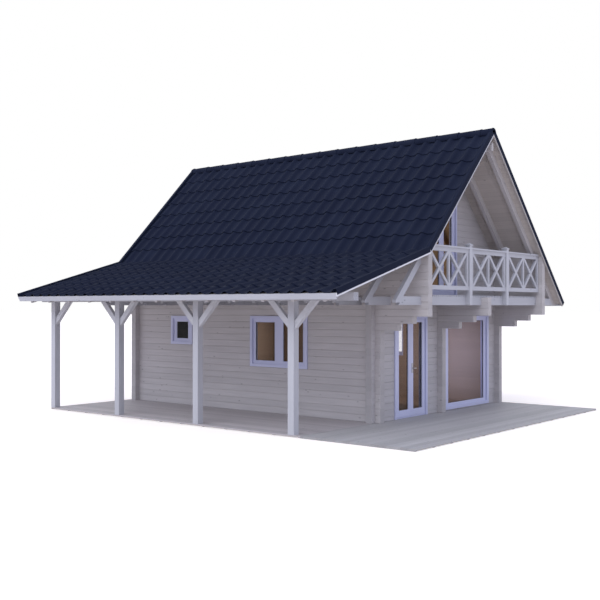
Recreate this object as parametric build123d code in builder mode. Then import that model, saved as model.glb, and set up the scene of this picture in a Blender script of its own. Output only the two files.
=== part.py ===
"""A log house with a loft, a balcony under the front gable and a roofed veranda along one side.

Millimetres. X runs across the front gable, Y runs from the front to the back and Z is up.
The origin is on the ground below the ridge, midway between the front and the back wall.
The veranda is on the -X side and the front gable faces -Y.
"""
import os
from collections import namedtuple
from math import atan2, cos, degrees, hypot, radians, sin, tan

from build123d import *

# House plan, between the axes of the log walls
house_width = 5000
house_depth = 7000

# Squared logs, laid in courses with a V along every joint outside
log_width = 140
course = 140
groove = 8
log_end = 125
plain_courses = 13
corbel_courses = 2
corbel_step = 347
panel_reach = 1220
back_reach = 260
middle_axis = -130

# Floors and decks
floor_thickness = 40
room_height = 2320
loft_floor_thickness = 40
front_deck_depth = 2389
veranda_width = 2329
veranda_back = 185
deck_right = 112

# Roof planes, at the tops of the tiles, which pass a knee height over the side walls' outer faces
knee_rise = 871
main_pitch = 45.65
veranda_pitch = 16
right_overhang = 999
veranda_overhang = 590
front_overhang = 1252
back_overhang = 628

# Roof layers, square to the slope
tile_depth = 45
board_depth = 20
rafter_depth = 130

# Trusses
frame_width = 80
tie_depth = 160
ridge_beam_depth = 170
ridge_beam_inset = 32
truss_spacing = 695
truss_inset = 290
balcony_truss_gap = 400
back_truss_gap = 190
front_truss_inset = 160
left_tail_reach = 870
left_tail_face = 45
right_tail_face = 30

# Roof trim
trim_thickness = 25
barge_width = 60
right_fascia_width = 45
veranda_fascia_width = 105
cap_radius = 105
cap_wall = 17
cap_rise = 18

# Veranda frame
post_size = 140
rear_bay = 2240
middle_bay = 2370
front_bay = 2430
beam_depth = 145
beam_front_inset = 82
birdsmouth = 17
veranda_rafter_width = 60
brace_leg = 505
brace_width = 110
brace_thickness = 80

# Frames of doors and windows
jamb = 30
casing_thickness = 25
casing_reveal = 18
casing_lap = 48
head_lap = 20
sash_thickness = 45
sash_inset = 10
sash_stile = 80
sash_rail = 45
glass_thickness = 20
stop_width = 15
front_opening_height = 2060

# Front double door, placed from the axis of the left wall
door_inset = 1235
door_width = 1150
leaf_gap = 5
leaf_thickness = 45
leaf_stile = 86
leaf_top_rail = 50
leaf_bottom_rail = 125
threshold = 20

# Hinges of the front door
hinge_radius = 8
knuckle_height = 45
knuckle_gap = 0.3
hinge_plate = 3
hinge_plate_width = 32
hinge_end_distance = 220

# Handle of the front door
handle_height = 1010
handle_plate_width = 36
handle_plate_height = 210
handle_plate_depth = 6
handle_plate_corner = 12
handle_neck = 38
handle_bar = 16
handle_length = 95

# Front window, between the logs at the middle and the right wall
front_window_left_gap = 220
front_window_right_gap = 394
front_window_lap = 72
front_window_stile = 85
front_window_sill = 70

# Side and back windows
small_window_width = 616
small_window_height = 567
small_window_sill = 1451
small_window_axis = 1918
large_window_width = 1513
large_window_height = 1005
large_window_sill = 1026
left_large_window_axis = -1065
right_large_window_axis = -235
large_window_stile = 50
window_mullion = 118
loft_window_sill = 900

# Balcony door
balcony_door_height = 2035

# Balcony railing
rail_bays = 3
rail_post = 100
rail_post_rise = 1015
rail_post_cap = 18
rail_post_cap_lap = 12
rail_post_point = 32
rail_post_tip = 20
hand_rail_top = 970
hand_rail_width = 100
hand_rail_depth = 32
rail_width = 85
rail_thickness = 45
bottom_rail_rise = 100
rail_stile = 55
rail_stile_gap = 25
cross_bar = 60

# Length by which a cutting shape passes the piece that it cuts
overrun = 50

os.makedirs("parts", exist_ok=True)

# Plan lines that follow from the sizes
wall_x = house_width / 2
wall_y = house_depth / 2
face_x = wall_x + log_width / 2
face_y = wall_y + log_width / 2
inner_x = wall_x - log_width / 2
inner_y = wall_y - log_width / 2
middle_faces = (middle_axis - log_width / 2, middle_axis + log_width / 2)
door_axis = door_inset - wall_x
front_window_left = middle_faces[1] + front_window_left_gap
front_window_right = inner_x - front_window_right_gap
log_reach_x = face_x + log_end
log_reach_y = face_y + log_end
panel_front = -face_y - panel_reach
panel_back = face_y + back_reach
deck_left = -face_x - veranda_width
deck_front = -face_y - front_deck_depth
deck_back = face_y + veranda_back
front_verge = -face_y - front_overhang
back_verge = face_y + back_overhang
right_eave = face_x + right_overhang
veranda_eave = face_x + veranda_width + veranda_overhang

# Roof slopes
main_cos = cos(radians(main_pitch))
main_sin = sin(radians(main_pitch))
main_tan = tan(radians(main_pitch))
veranda_cos = cos(radians(veranda_pitch))
veranda_sin = sin(radians(veranda_pitch))
veranda_tan = tan(radians(veranda_pitch))
board_base = tile_depth + board_depth
rafter_base = board_base + rafter_depth

# Levels that follow from the sizes
corbel_base = floor_thickness + plain_courses * course
panel_base = corbel_base + corbel_courses * course
tie_base = floor_thickness + room_height
tie_top = tie_base + tie_depth
loft_floor = tie_top + loft_floor_thickness
knee_height = loft_floor + knee_rise
ridge_height = knee_height + face_x * main_tan
front_opening_top = floor_thickness + front_opening_height
course_count = int(ridge_height // course)
side_joints = [floor_thickness + k * course for k in range(course_count)]
gable_joints = [z + course / 2 for z in side_joints]
head_base = max(z for z in gable_joints if z < front_opening_top)
gable_base = max(z for z in gable_joints if z < tie_top)

# Rows of trusses: two under the balcony, a row between the gable walls, one behind the house
front_truss = panel_front + front_truss_inset + frame_width / 2
first_truss = -wall_y + truss_inset
inner_trusses = int((inner_y - frame_width / 2 - first_truss) // truss_spacing) + 1
truss_rows = [front_truss, -wall_y - balcony_truss_gap]
truss_rows += [first_truss + k * truss_spacing for k in range(inner_trusses)]
truss_rows += [wall_y + back_truss_gap]

LEFT = -1
RIGHT = 1
SIDES = ((LEFT, "left"), (RIGHT, "right"))


def main_line(depth, reach):
    """Height of the main roof at a reach from the ridge, a depth square below the tile tops."""
    return ridge_height - depth / main_cos - reach * main_tan


def main_reach(depth, height):
    """Reach from the ridge at which the main roof's line at a depth has a height."""
    return (ridge_height - depth / main_cos - height) / main_tan


def veranda_line(depth, reach):
    """Height of the veranda roof at a reach from the ridge, a depth square below the tile tops."""
    return knee_height - depth / veranda_cos - (reach - face_x) * veranda_tan


def break_point(depth):
    """Reach and height where the two left slopes meet, a depth square below the tile tops."""
    rise = main_line(depth, 0) - veranda_line(depth, 0)
    reach = rise / (main_tan - veranda_tan)
    return reach, main_line(depth, reach)


def break_edge(depth, inset):
    """Reach of the left slope's plumb end, where the veranda roof goes on."""
    return face_x


def right_edge(depth, inset):
    """Reach of the right eave, cut square to its slope, at a depth and set back by an inset."""
    return right_eave - depth * main_sin - inset * main_cos


def veranda_edge(depth, inset):
    """Reach of the veranda's eave, cut square to its slope, at a depth and set back by an inset."""
    return veranda_eave - depth * veranda_sin - inset * veranda_cos


def vee(z, joints):
    """Depth of the V at a height on a wall with these joints."""
    return max(0, max(groove - abs(z - joint) for joint in joints))


def face_heights(low, high, joints):
    """Heights at which a log face changes direction, from low to high."""
    marks = [joint + shift for joint in joints for shift in (-groove, 0, groove)]
    return [low] + [z for z in marks if low < z < high] + [high]


def log_section(near, far, low, near_top, far_top, joints):
    """Section of a log wall: a near face with a V at every joint, a plain far face, a top that may slope."""
    inward = 1 if far > near else -1
    near_face = [(near + inward * vee(z, joints), z) for z in face_heights(low, near_top, joints)]
    return near_face + [(far, far_top), (far, low)]


def free_log_section(near, far, low, top, joints):
    """Section of logs that are seen from both sides, with a V at every joint of both faces."""
    near_face = log_section(near, far, low, top, top, joints)[:-2]
    far_face = log_section(far, near, low, top, top, joints)[:-2]
    return near_face + far_face[::-1]


def sweep_along_y(outline, y_low, y_high, mode=Mode.ADD):
    """Carry an outline in X and Z from y_low to y_high."""
    with BuildSketch(Plane.XZ.offset(-y_low)) as section:
        with BuildLine():
            Polyline(*outline, close=True)
        make_face()
    extrude(section.sketch, amount=y_low - y_high, mode=mode)


def sweep_along_x(outline, x_low, x_high, mode=Mode.ADD):
    """Carry an outline in Y and Z from x_low to x_high."""
    with BuildSketch(Plane.YZ.offset(x_low)) as section:
        with BuildLine():
            Polyline(*outline, close=True)
        make_face()
    extrude(section.sketch, amount=x_high - x_low, mode=mode)


def row_of_frames(outline, rows, width, mode=Mode.ADD):
    """Repeat an outline in X and Z, a width thick, centred on every row in Y."""
    with BuildSketch(*[Plane.XZ.offset(-y) for y in rows]) as section:
        with BuildLine():
            Polyline(*outline, close=True)
        make_face()
    extrude(section.sketch, amount=width / 2, both=True, mode=mode)


def block(x_span, y_span, z_span, mode=Mode.ADD):
    """A squared timber or slab between three pairs of faces."""
    lows = [min(span) for span in (x_span, y_span, z_span)]
    sizes = [max(span) - min(span) for span in (x_span, y_span, z_span)]
    with Locations(tuple(lows)):
        Box(*sizes, align=(Align.MIN, Align.MIN, Align.MIN), mode=mode)


def cut_notches(x_axis, y_axis, joints, low, high):
    """Notch the underside of each log between two heights, half a course deep, where a wall crosses."""
    slack = course / 4
    rows = [(x_axis, y_axis, z + course / 4) for z in joints if low - slack < z < high - slack]
    with Locations(*rows):
        Box(log_width, log_width, course / 2, mode=Mode.SUBTRACT)


def cut_corbel_steps(across):
    """Step the logs under the balcony's sides and middle back, course by course."""
    for step in range(corbel_courses):
        base = corbel_base + step * course
        corbel_front = panel_front + (corbel_courses - step) * corbel_step
        block(across, (panel_front - overrun, corbel_front), (base, base + course), mode=Mode.SUBTRACT)


def trim_under_roof(half_width, y_low, y_high):
    """Cut off what rises past the underside of the main roof's boards."""
    rake = half_width + overrun
    apex = main_line(board_base, 0)
    sweep_along_y(
        [(-rake, main_line(board_base, rake)), (0, apex), (rake, main_line(board_base, rake)),
         (rake, apex + overrun), (-rake, apex + overrun)],
        y_low, y_high, mode=Mode.SUBTRACT)


def rafter_outline(side):
    """A main rafter from the ridge to its tail, cut plumb on the left, square on the right, then level."""
    if side == LEFT:
        tail = face_x + left_tail_reach
        low_reach = tail
        low = main_line(board_base, tail) - left_tail_face
    else:
        tail = right_edge(board_base, trim_thickness)
        low_reach = tail - right_tail_face * main_sin
        low = main_line(board_base, tail) - right_tail_face * main_cos
    reaches = [
        (0, main_line(rafter_base, 0)),
        (0, main_line(board_base, 0)),
        (tail, main_line(board_base, tail)),
        (low_reach, low),
        (main_reach(rafter_base, low), low),
    ]
    return [(side * reach, z) for reach, z in reaches]


def tie_outline():
    """A tie beam, cut at both ends to the underside of the rafters."""
    top = main_reach(rafter_base, tie_top)
    bottom = main_reach(rafter_base, tie_base)
    return [(-bottom, tie_base), (bottom, tie_base), (top, tie_top), (-top, tie_top)]


def ridge_beam_outline():
    """The ridge beam, its top bevelled to both rows of rafters."""
    half = frame_width / 2
    apex = main_line(rafter_base, 0)
    shoulder = main_line(rafter_base, half)
    bottom = apex - ridge_beam_depth
    return [(-half, bottom), (half, bottom), (half, shoulder), (0, apex), (-half, shoulder)]


def front_plane(axis, height):
    """A plane on the outside of the front wall, X to the right, facing out."""
    return Plane(origin=(axis, -face_y, height), x_dir=(1, 0, 0), z_dir=(0, -1, 0))


def back_plane(axis, height):
    """A plane on the outside of the back wall, facing out."""
    return Plane(origin=(axis, face_y, height), x_dir=(-1, 0, 0), z_dir=(0, 1, 0))


def side_plane(side, axis, height):
    """A plane on the outside of a side wall, facing out."""
    return Plane(origin=(side * face_x, axis, height), x_dir=(0, side, 0), z_dir=(side, 0, 0))


# An opening with a frame: its plane at the middle of the sill, its size, and its frame
Opening = namedtuple("Opening", "plane width height side_lap top_lap sill_lap stile rail panes")


def small_window(plane):
    """A window with one square pane."""
    return Opening(plane, small_window_width, small_window_height, casing_lap, casing_lap,
                   casing_lap, sash_stile, sash_rail, 1)


def large_window(plane):
    """A window with two panes beside a mullion."""
    return Opening(plane, large_window_width, large_window_height, casing_lap, casing_lap,
                   casing_lap, large_window_stile, sash_rail, 2)


front_window_axis = (front_window_left + front_window_right) / 2
front_window = Opening(
    front_plane(front_window_axis, floor_thickness + front_window_sill),
    front_window_right - front_window_left, front_opening_height - front_window_sill,
    front_window_lap, head_lap, casing_lap, front_window_stile, sash_rail, 1)
large_window_axes = {LEFT: left_large_window_axis, RIGHT: right_large_window_axis}
side_windows = {
    side: (small_window(side_plane(side, small_window_axis, small_window_sill + casing_lap)),
           large_window(side_plane(side, large_window_axes[side], large_window_sill + casing_lap)))
    for side, word in SIDES}
back_window = large_window(back_plane(0, large_window_sill + casing_lap))
loft_window = small_window(back_plane(0, loft_floor + loft_window_sill))
all_windows = [front_window, *side_windows[LEFT], *side_windows[RIGHT], back_window, loft_window]
front_door = Opening(front_plane(door_axis, floor_thickness), door_width, front_opening_height,
                     casing_lap, head_lap, 0, leaf_stile, leaf_top_rail, 2)
balcony_door = Opening(front_plane(0, loft_floor), door_width, balcony_door_height,
                       casing_lap, head_lap, 0, leaf_stile, leaf_top_rail, 2)


def cut_opening(opening):
    """Cut a door or window right through the wall being built."""
    with BuildSketch(opening.plane.offset(overrun)) as hole:
        with Locations((0, opening.height / 2)):
            Rectangle(opening.width, opening.height)
    extrude(hole.sketch, amount=-(log_width + overrun + overrun), mode=Mode.SUBTRACT)


def ring(plane, outer, inner, depth):
    """A frame between two upright rectangles, each (half width, bottom, top), out from a plane."""
    with BuildSketch(plane) as frame:
        for (half, low, high), mode in ((outer, Mode.ADD), (inner, Mode.SUBTRACT)):
            with Locations((0, (low + high) / 2)):
                Rectangle(half + half, high - low, mode=mode)
    extrude(frame.sketch, amount=depth)


def casing_and_jamb(opening, bottom_jamb):
    """Lining through the wall and the flat casing round it on the outside."""
    half = opening.width / 2
    ring(opening.plane, (half, 0, opening.height),
         (half - jamb, bottom_jamb, opening.height - jamb), -log_width)
    cover = jamb - casing_reveal
    sill_cover = cover if opening.sill_lap else -overrun
    with BuildSketch(opening.plane) as casing:
        with Locations((0, (opening.height + opening.top_lap - opening.sill_lap) / 2)):
            Rectangle(opening.width + 2 * opening.side_lap,
                      opening.height + opening.top_lap + opening.sill_lap)
        with Locations((0, (opening.height - cover + sill_cover) / 2)):
            Rectangle(opening.width - 2 * cover, opening.height - cover - sill_cover,
                      mode=Mode.SUBTRACT)
    extrude(casing.sketch, amount=casing_thickness)


def pane_spans(opening, mullion):
    """Left and right edge of each pane of a fixed sash, from the middle of the opening."""
    clear = opening.width / 2 - jamb - opening.stile
    if opening.panes == 1:
        return [(-clear, clear)]
    post = mullion / 2 + opening.stile
    return [(-clear, -post), (post, clear)]


def fixed_sash(opening, mullion, bottom_rail, bottom_jamb):
    """The fixed frame that holds the panes, set a little behind the face of the wall."""
    low = bottom_jamb + bottom_rail
    high = opening.height - jamb - opening.rail
    with BuildSketch(opening.plane.offset(-sash_inset)) as sash:
        with Locations((0, (bottom_jamb + opening.height - jamb) / 2)):
            Rectangle(opening.width - 2 * jamb, opening.height - jamb - bottom_jamb)
        for left, right in pane_spans(opening, mullion):
            with Locations(((left + right) / 2, (low + high) / 2)):
                Rectangle(right - left, high - low, mode=Mode.SUBTRACT)
    extrude(sash.sketch, amount=-sash_thickness)


def fixed_panes(opening, mullion, bottom_rail, bottom_jamb):
    """The sheets of glass of a fixed sash, midway through its thickness."""
    low = bottom_jamb + bottom_rail
    high = opening.height - jamb - opening.rail
    pane_plane = opening.plane.offset(-sash_inset - (sash_thickness - glass_thickness) / 2)
    with BuildSketch(pane_plane) as panes:
        for left, right in pane_spans(opening, mullion):
            with Locations(((left + right) / 2, (low + high) / 2)):
                Rectangle(right - left, high - low)
    extrude(panes.sketch, amount=-glass_thickness)


def save(piece, name):
    """Label a finished piece and write it to its own file."""
    piece.part.label = name
    export_step(piece.part, f"parts/{name}.step")


# Ground floor below the walls
with BuildPart() as ground_floor:
    with BuildSketch():
        Rectangle(face_x + face_x, face_y + face_y)
    extrude(amount=floor_thickness)
save(ground_floor, "ground_floor")

# Decking in front of the house and along the veranda
with BuildPart() as front_deck:
    block((deck_left, face_x + deck_right), (deck_front, -face_y), (0, floor_thickness))
save(front_deck, "front_deck")

with BuildPart() as veranda_deck:
    block((deck_left, -face_x), (-face_y, deck_back), (0, floor_thickness))
save(veranda_deck, "veranda_deck")

# Side walls up to the corbels, log ends past the corners
for side, word in SIDES:
    with BuildPart() as side_wall:
        sweep_along_y(
            log_section(side * face_x, side * inner_x, floor_thickness, corbel_base, corbel_base,
                        side_joints),
            -log_reach_y, log_reach_y)
        for y_axis in (-wall_y, wall_y):
            cut_notches(side * wall_x, y_axis, side_joints, floor_thickness, corbel_base)
        for window in side_windows[side]:
            cut_opening(window)
    save(side_wall, f"{word}_wall")

# Upper side walls: stepped corbels, balcony sides and knee walls under the roof
crossing_top = main_line(board_base, inner_x) + course / 2
for side, word in SIDES:
    with BuildPart() as wall_top:
        sweep_along_y(
            log_section(side * face_x, side * inner_x, corbel_base, main_line(board_base, face_x),
                        main_line(board_base, inner_x), side_joints),
            panel_front, panel_back)
        across = (side * (face_x + overrun), side * (inner_x - overrun))
        cut_corbel_steps(across)
        block(across, (log_reach_y, panel_back + overrun), (corbel_base, panel_base),
              mode=Mode.SUBTRACT)
        for y_axis in (-wall_y, wall_y):
            cut_notches(side * wall_x, y_axis, side_joints, corbel_base, crossing_top)
        for window in side_windows[side]:
            cut_opening(window)
        row_of_frames(rafter_outline(side), truss_rows, frame_width, mode=Mode.SUBTRACT)
        row_of_frames(tie_outline(), truss_rows, frame_width, mode=Mode.SUBTRACT)
    save(wall_top, f"{word}_wall_top")

# Front wall on both sides of the door, with the large window
with BuildPart() as front_wall:
    sweep_along_x(log_section(-face_y, -inner_y, floor_thickness, head_base, head_base, gable_joints),
                  -log_reach_x, log_reach_x)
    cut_opening(front_door)
    cut_opening(front_window)
    for x_axis in (-wall_x, middle_axis, wall_x):
        cut_notches(x_axis, -wall_y, gable_joints, floor_thickness, head_base)
save(front_wall, "front_wall")

# Logs over the door and the window
with BuildPart() as front_wall_head:
    sweep_along_x(log_section(-face_y, -inner_y, head_base, gable_base, gable_base, gable_joints),
                  -log_reach_x, log_reach_x)
    cut_opening(front_door)
    cut_opening(front_window)
    for x_axis in (-wall_x, middle_axis, wall_x):
        cut_notches(x_axis, -wall_y, gable_joints, head_base, gable_base)
save(front_wall_head, "front_wall_head")

# Back wall
with BuildPart() as back_wall:
    sweep_along_x(log_section(face_y, inner_y, floor_thickness, gable_base, gable_base, gable_joints),
                  -log_reach_x, log_reach_x)
    cut_opening(back_window)
    for x_axis in (-wall_x, wall_x):
        cut_notches(x_axis, wall_y, gable_joints, floor_thickness, gable_base)
    cut_notches(middle_axis, wall_y, gable_joints, panel_base, gable_base)
save(back_wall, "back_wall")

# Gables under the roof boards, with the ridge beam passing through
for toward, word, opening in ((-1, "front", balcony_door), (1, "back", loft_window)):
    with BuildPart() as gable:
        gable_top = main_line(board_base, 0)
        sweep_along_x(log_section(toward * face_y, toward * inner_y, gable_base, gable_top, gable_top,
                                  gable_joints), -face_x, face_x)
        trim_under_roof(face_x, toward * wall_y - log_width, toward * wall_y + log_width)
        sweep_along_y(ridge_beam_outline(), toward * wall_y - log_width, toward * wall_y + log_width,
                      mode=Mode.SUBTRACT)
        cut_opening(opening)
        for x_axis in (-wall_x, wall_x):
            cut_notches(x_axis, toward * wall_y, gable_joints, gable_base, crossing_top)
        block(middle_faces, (toward * inner_y, toward * face_y), (gable_base, tie_top),
              mode=Mode.SUBTRACT)
    save(gable, f"{word}_gable")

# Log ends at the middle of the front wall
with BuildPart() as middle_log_ends:
    sweep_along_y(free_log_section(*middle_faces, floor_thickness, corbel_base, side_joints),
                  -log_reach_y, -inner_y + log_end)
    cut_notches(middle_axis, -wall_y, side_joints, floor_thickness, corbel_base)
save(middle_log_ends, "middle_log_ends")

# The same logs stepped out to carry the balcony
with BuildPart() as middle_corbel:
    sweep_along_y(free_log_section(*middle_faces, corbel_base, panel_base, side_joints),
                  panel_front, -inner_y + log_end)
    cut_corbel_steps((middle_faces[0] - overrun, middle_faces[1] + overrun))
    cut_notches(middle_axis, -wall_y, side_joints, corbel_base, panel_base)
save(middle_corbel, "middle_corbel")

# Girder of logs along the middle, under the loft floor
with BuildPart() as middle_girder:
    sweep_along_y(free_log_section(*middle_faces, panel_base, tie_top, side_joints),
                  panel_front, log_reach_y)
    for y_axis in (-wall_y, wall_y):
        cut_notches(middle_axis, y_axis, side_joints, panel_base, tie_top)
    row_of_frames(tie_outline(), truss_rows, frame_width, mode=Mode.SUBTRACT)
save(middle_girder, "middle_girder")

# Trusses: tie beams, rafters and the ridge beam
with BuildPart() as tie_beams:
    row_of_frames(tie_outline(), truss_rows, frame_width)
save(tie_beams, "tie_beams")

for side, word in SIDES:
    with BuildPart() as rafters:
        row_of_frames(rafter_outline(side), truss_rows, frame_width)
    save(rafters, f"{word}_rafters")

with BuildPart() as ridge_beam:
    sweep_along_y(ridge_beam_outline(), front_verge + ridge_beam_inset, back_verge - ridge_beam_inset)
save(ridge_beam, "ridge_beam")

# Floors on the tie beams
with BuildPart() as loft_floor_boards:
    block((-inner_x, inner_x), (-inner_y, inner_y), (tie_top, loft_floor))
save(loft_floor_boards, "loft_floor")

with BuildPart() as balcony_floor:
    block((-inner_x, inner_x), (front_truss - frame_width / 2, -face_y), (tie_top, loft_floor))
save(balcony_floor, "balcony_floor")


def roof_layer(line, edge, side, start, inset, top, bottom):
    """Outline of one layer of a roof slope between two depths, from a start to its edge."""
    reaches = [(start, top), (edge(top, inset), top), (edge(bottom, inset), bottom), (start, bottom)]
    return [(side * reach, line(depth, reach)) for reach, depth in reaches]


# Roof slopes: boards on the rafters and a layer of tiles on the boards
slopes = (
    ("left", main_line, break_edge, LEFT, 0),
    ("right", main_line, right_edge, RIGHT, 0),
    ("veranda", veranda_line, veranda_edge, LEFT, face_x),
)
board_rows = (front_verge + trim_thickness, back_verge - trim_thickness)
for word, line, edge, side, start in slopes:
    with BuildPart() as roof_boards:
        sweep_along_y(roof_layer(line, edge, side, start, trim_thickness, tile_depth, board_base),
                      *board_rows)
    save(roof_boards, f"{word}_roof_boards")
    with BuildPart() as roof_tiles:
        sweep_along_y(roof_layer(line, edge, side, start, 0, 0, tile_depth), front_verge, back_verge)
    save(roof_tiles, f"{word}_roof_tiles")

# Rounded cap over the ridge, its edges on the tiles
with BuildPart() as ridge_cap:
    with BuildSketch(Plane.XZ.offset(-front_verge)):
        cap_centre = ridge_height + cap_rise - cap_radius
        foot = main_line(0, cap_radius + overrun)
        for radius, mode in ((cap_radius, Mode.ADD), (cap_radius - cap_wall, Mode.SUBTRACT)):
            with Locations((0, cap_centre)):
                Circle(radius, mode=mode)
            with Locations((0, (cap_centre + foot) / 2)):
                Rectangle(radius + radius, cap_centre - foot, mode=mode)
        with BuildLine():
            Polyline((-cap_radius - overrun, main_line(0, cap_radius + overrun)), (0, ridge_height),
                     (cap_radius + overrun, main_line(0, cap_radius + overrun)),
                     (cap_radius + overrun, foot - cap_radius),
                     (-cap_radius - overrun, foot - cap_radius), close=True)
        make_face(mode=Mode.SUBTRACT)
    extrude(amount=front_verge - back_verge)
save(ridge_cap, "ridge_cap")

# Boards along both verges, under the edge of the tiles, mitred where the left slopes meet
barge_base = tile_depth + barge_width
mitre = break_point(barge_base)
step = (face_x, main_line(tile_depth, face_x))
barges = (
    ("left", LEFT, [(0, main_line(tile_depth, 0)), step, mitre, (0, main_line(barge_base, 0))]),
    ("right", RIGHT, roof_layer(main_line, right_edge, RIGHT, 0, 0, tile_depth, barge_base)),
    ("veranda", LEFT, [
        (face_x, veranda_line(tile_depth, face_x)),
        (veranda_edge(tile_depth, 0), veranda_line(tile_depth, veranda_edge(tile_depth, 0))),
        (veranda_edge(barge_base, 0), veranda_line(barge_base, veranda_edge(barge_base, 0))),
        mitre, step]),
)
for word, side, reaches in barges:
    with BuildPart() as barge_boards:
        outline = [(side * reach, z) for reach, z in reaches]
        sweep_along_y(outline, front_verge, front_verge + trim_thickness)
        sweep_along_y(outline, back_verge - trim_thickness, back_verge)
    save(barge_boards, f"{word}_barge_boards")

# Boards along both eaves, square to their slopes
with BuildPart() as fascia_boards:
    eaves = ((RIGHT, main_line, right_edge, right_fascia_width),
             (LEFT, veranda_line, veranda_edge, veranda_fascia_width))
    for side, line, edge, width in eaves:
        corners = [(tile_depth, 0), (tile_depth + width, 0), (tile_depth + width, trim_thickness),
                   (tile_depth, trim_thickness)]
        sweep_along_y([(side * edge(*corner), line(corner[0], edge(*corner))) for corner in corners],
                      *board_rows)
save(fascia_boards, "fascia_boards")

# Veranda frame: posts on the deck, a beam on the posts, braces, rafters over the beam
post_axis = deck_left + post_size / 2
post_rows = [deck_back - post_size / 2]
for bay in (rear_bay, middle_bay, front_bay):
    post_rows.append(post_rows[-1] - bay)
beam_span = (deck_left, deck_left + post_size)
beam_top = veranda_line(rafter_base, -deck_left) + birdsmouth
beam_base = beam_top - beam_depth
beam_rows = (front_verge + beam_front_inset, back_verge - beam_front_inset)

with BuildPart() as veranda_posts:
    for row in post_rows:
        block(beam_span, (row - post_size / 2, row + post_size / 2), (floor_thickness, beam_base))
save(veranda_posts, "veranda_posts")

with BuildPart() as veranda_beam:
    block(beam_span, beam_rows, (beam_base, beam_top))
save(veranda_beam, "veranda_beam")

with BuildPart() as veranda_braces:
    brace_slice = hypot(brace_width, brace_width)
    for row in post_rows:
        for toward in (-1, 1):
            if row + post_size / 2 + brace_leg > beam_rows[1] and toward > 0:
                continue
            foot = row + toward * post_size / 2
            sweep_along_x(
                [(foot, beam_base - brace_leg), (foot + toward * brace_leg, beam_base),
                 (foot + toward * (brace_leg - brace_slice), beam_base),
                 (foot, beam_base - brace_leg + brace_slice)],
                post_axis - brace_thickness / 2, post_axis + brace_thickness / 2)
save(veranda_braces, "veranda_braces")

with BuildPart() as veranda_rafters:
    rafter_rows = [y + (frame_width + veranda_rafter_width) / 2 for y in truss_rows]
    row_of_frames(
        roof_layer(veranda_line, veranda_edge, LEFT, face_x, trim_thickness, board_base, rafter_base),
        rafter_rows, veranda_rafter_width)
    block(beam_span, beam_rows, (beam_base - overrun, beam_top), mode=Mode.SUBTRACT)
save(veranda_rafters, "veranda_rafters")

# Fixed windows and their glass
with BuildPart() as window_frames:
    for window in all_windows:
        casing_and_jamb(window, jamb)
        fixed_sash(window, window_mullion, window.rail, jamb)
save(window_frames, "window_frames")

with BuildPart() as window_glass:
    for window in all_windows:
        fixed_panes(window, window_mullion, window.rail, jamb)
save(window_glass, "window_glass")

# Balcony door, kept shut
with BuildPart() as balcony_door_frame:
    casing_and_jamb(balcony_door, threshold)
    fixed_sash(balcony_door, leaf_gap, leaf_bottom_rail, threshold)
save(balcony_door_frame, "balcony_door")

with BuildPart() as balcony_door_glass:
    fixed_panes(balcony_door, leaf_gap, leaf_bottom_rail, threshold)
save(balcony_door_glass, "balcony_door_glass")

# Front double door: sizes of one leaf, measured from the middle of the threshold
leaf_low = threshold + leaf_gap
leaf_high = front_door.height - jamb - leaf_gap
leaf_outer = door_width / 2 - jamb - leaf_gap
leaf_inner = leaf_gap / 2
pane_outer = leaf_outer - leaf_stile
pane_inner = leaf_inner + leaf_stile
pane_low = leaf_low + leaf_bottom_rail
pane_high = leaf_high - leaf_top_rail
hinge_x = leaf_outer + leaf_gap / 2
hinge_heights = (leaf_low + hinge_end_distance, leaf_high - hinge_end_distance)


def knuckle(side, low, inner_edge, outer_edge):
    """Half of a lift-off hinge: its knuckle and the plate that holds it to the wood."""
    with BuildSketch(Plane.XY.offset(floor_thickness + low)) as hinge:
        with Locations((door_axis + side * hinge_x, -face_y - hinge_radius)):
            Circle(hinge_radius)
        with Locations((door_axis + side * (inner_edge + outer_edge) / 2, -face_y - hinge_plate / 2)):
            Rectangle(outer_edge - inner_edge, hinge_plate)
    extrude(hinge.sketch, amount=knuckle_height)


with BuildPart() as front_door_frame:
    casing_and_jamb(front_door, threshold)
    ring(front_door.plane.offset(-leaf_thickness - leaf_gap),
         (door_width / 2, 0, front_door.height),
         (door_width / 2 - jamb - stop_width, threshold, front_door.height - jamb - stop_width),
         leaf_thickness + leaf_gap - log_width)
    for side, word in SIDES:
        for height in hinge_heights:
            knuckle(side, height - knuckle_height, hinge_x, door_width / 2 - jamb + casing_reveal)
save(front_door_frame, "front_door_frame")

for side, word in SIDES:
    with BuildPart() as door_leaf:
        with BuildSketch(front_door.plane):
            with Locations((side * (leaf_inner + leaf_outer) / 2, (leaf_low + leaf_high) / 2)):
                Rectangle(leaf_outer - leaf_inner, leaf_high - leaf_low)
            with Locations((side * (pane_inner + pane_outer) / 2, (pane_low + pane_high) / 2)):
                Rectangle(pane_outer - pane_inner, pane_high - pane_low, mode=Mode.SUBTRACT)
        extrude(amount=-leaf_thickness)
        for height in hinge_heights:
            knuckle(side, height + knuckle_gap, hinge_x - hinge_plate_width, hinge_x)
    save(door_leaf, f"{word}_door_leaf")
    with BuildPart() as door_glass:
        with BuildSketch(front_door.plane.offset((glass_thickness - leaf_thickness) / 2)):
            with Locations((side * (pane_inner + pane_outer) / 2, (pane_low + pane_high) / 2)):
                Rectangle(pane_outer - pane_inner, pane_high - pane_low)
        extrude(amount=-glass_thickness)
    save(door_glass, f"{word}_door_glass")

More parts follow.
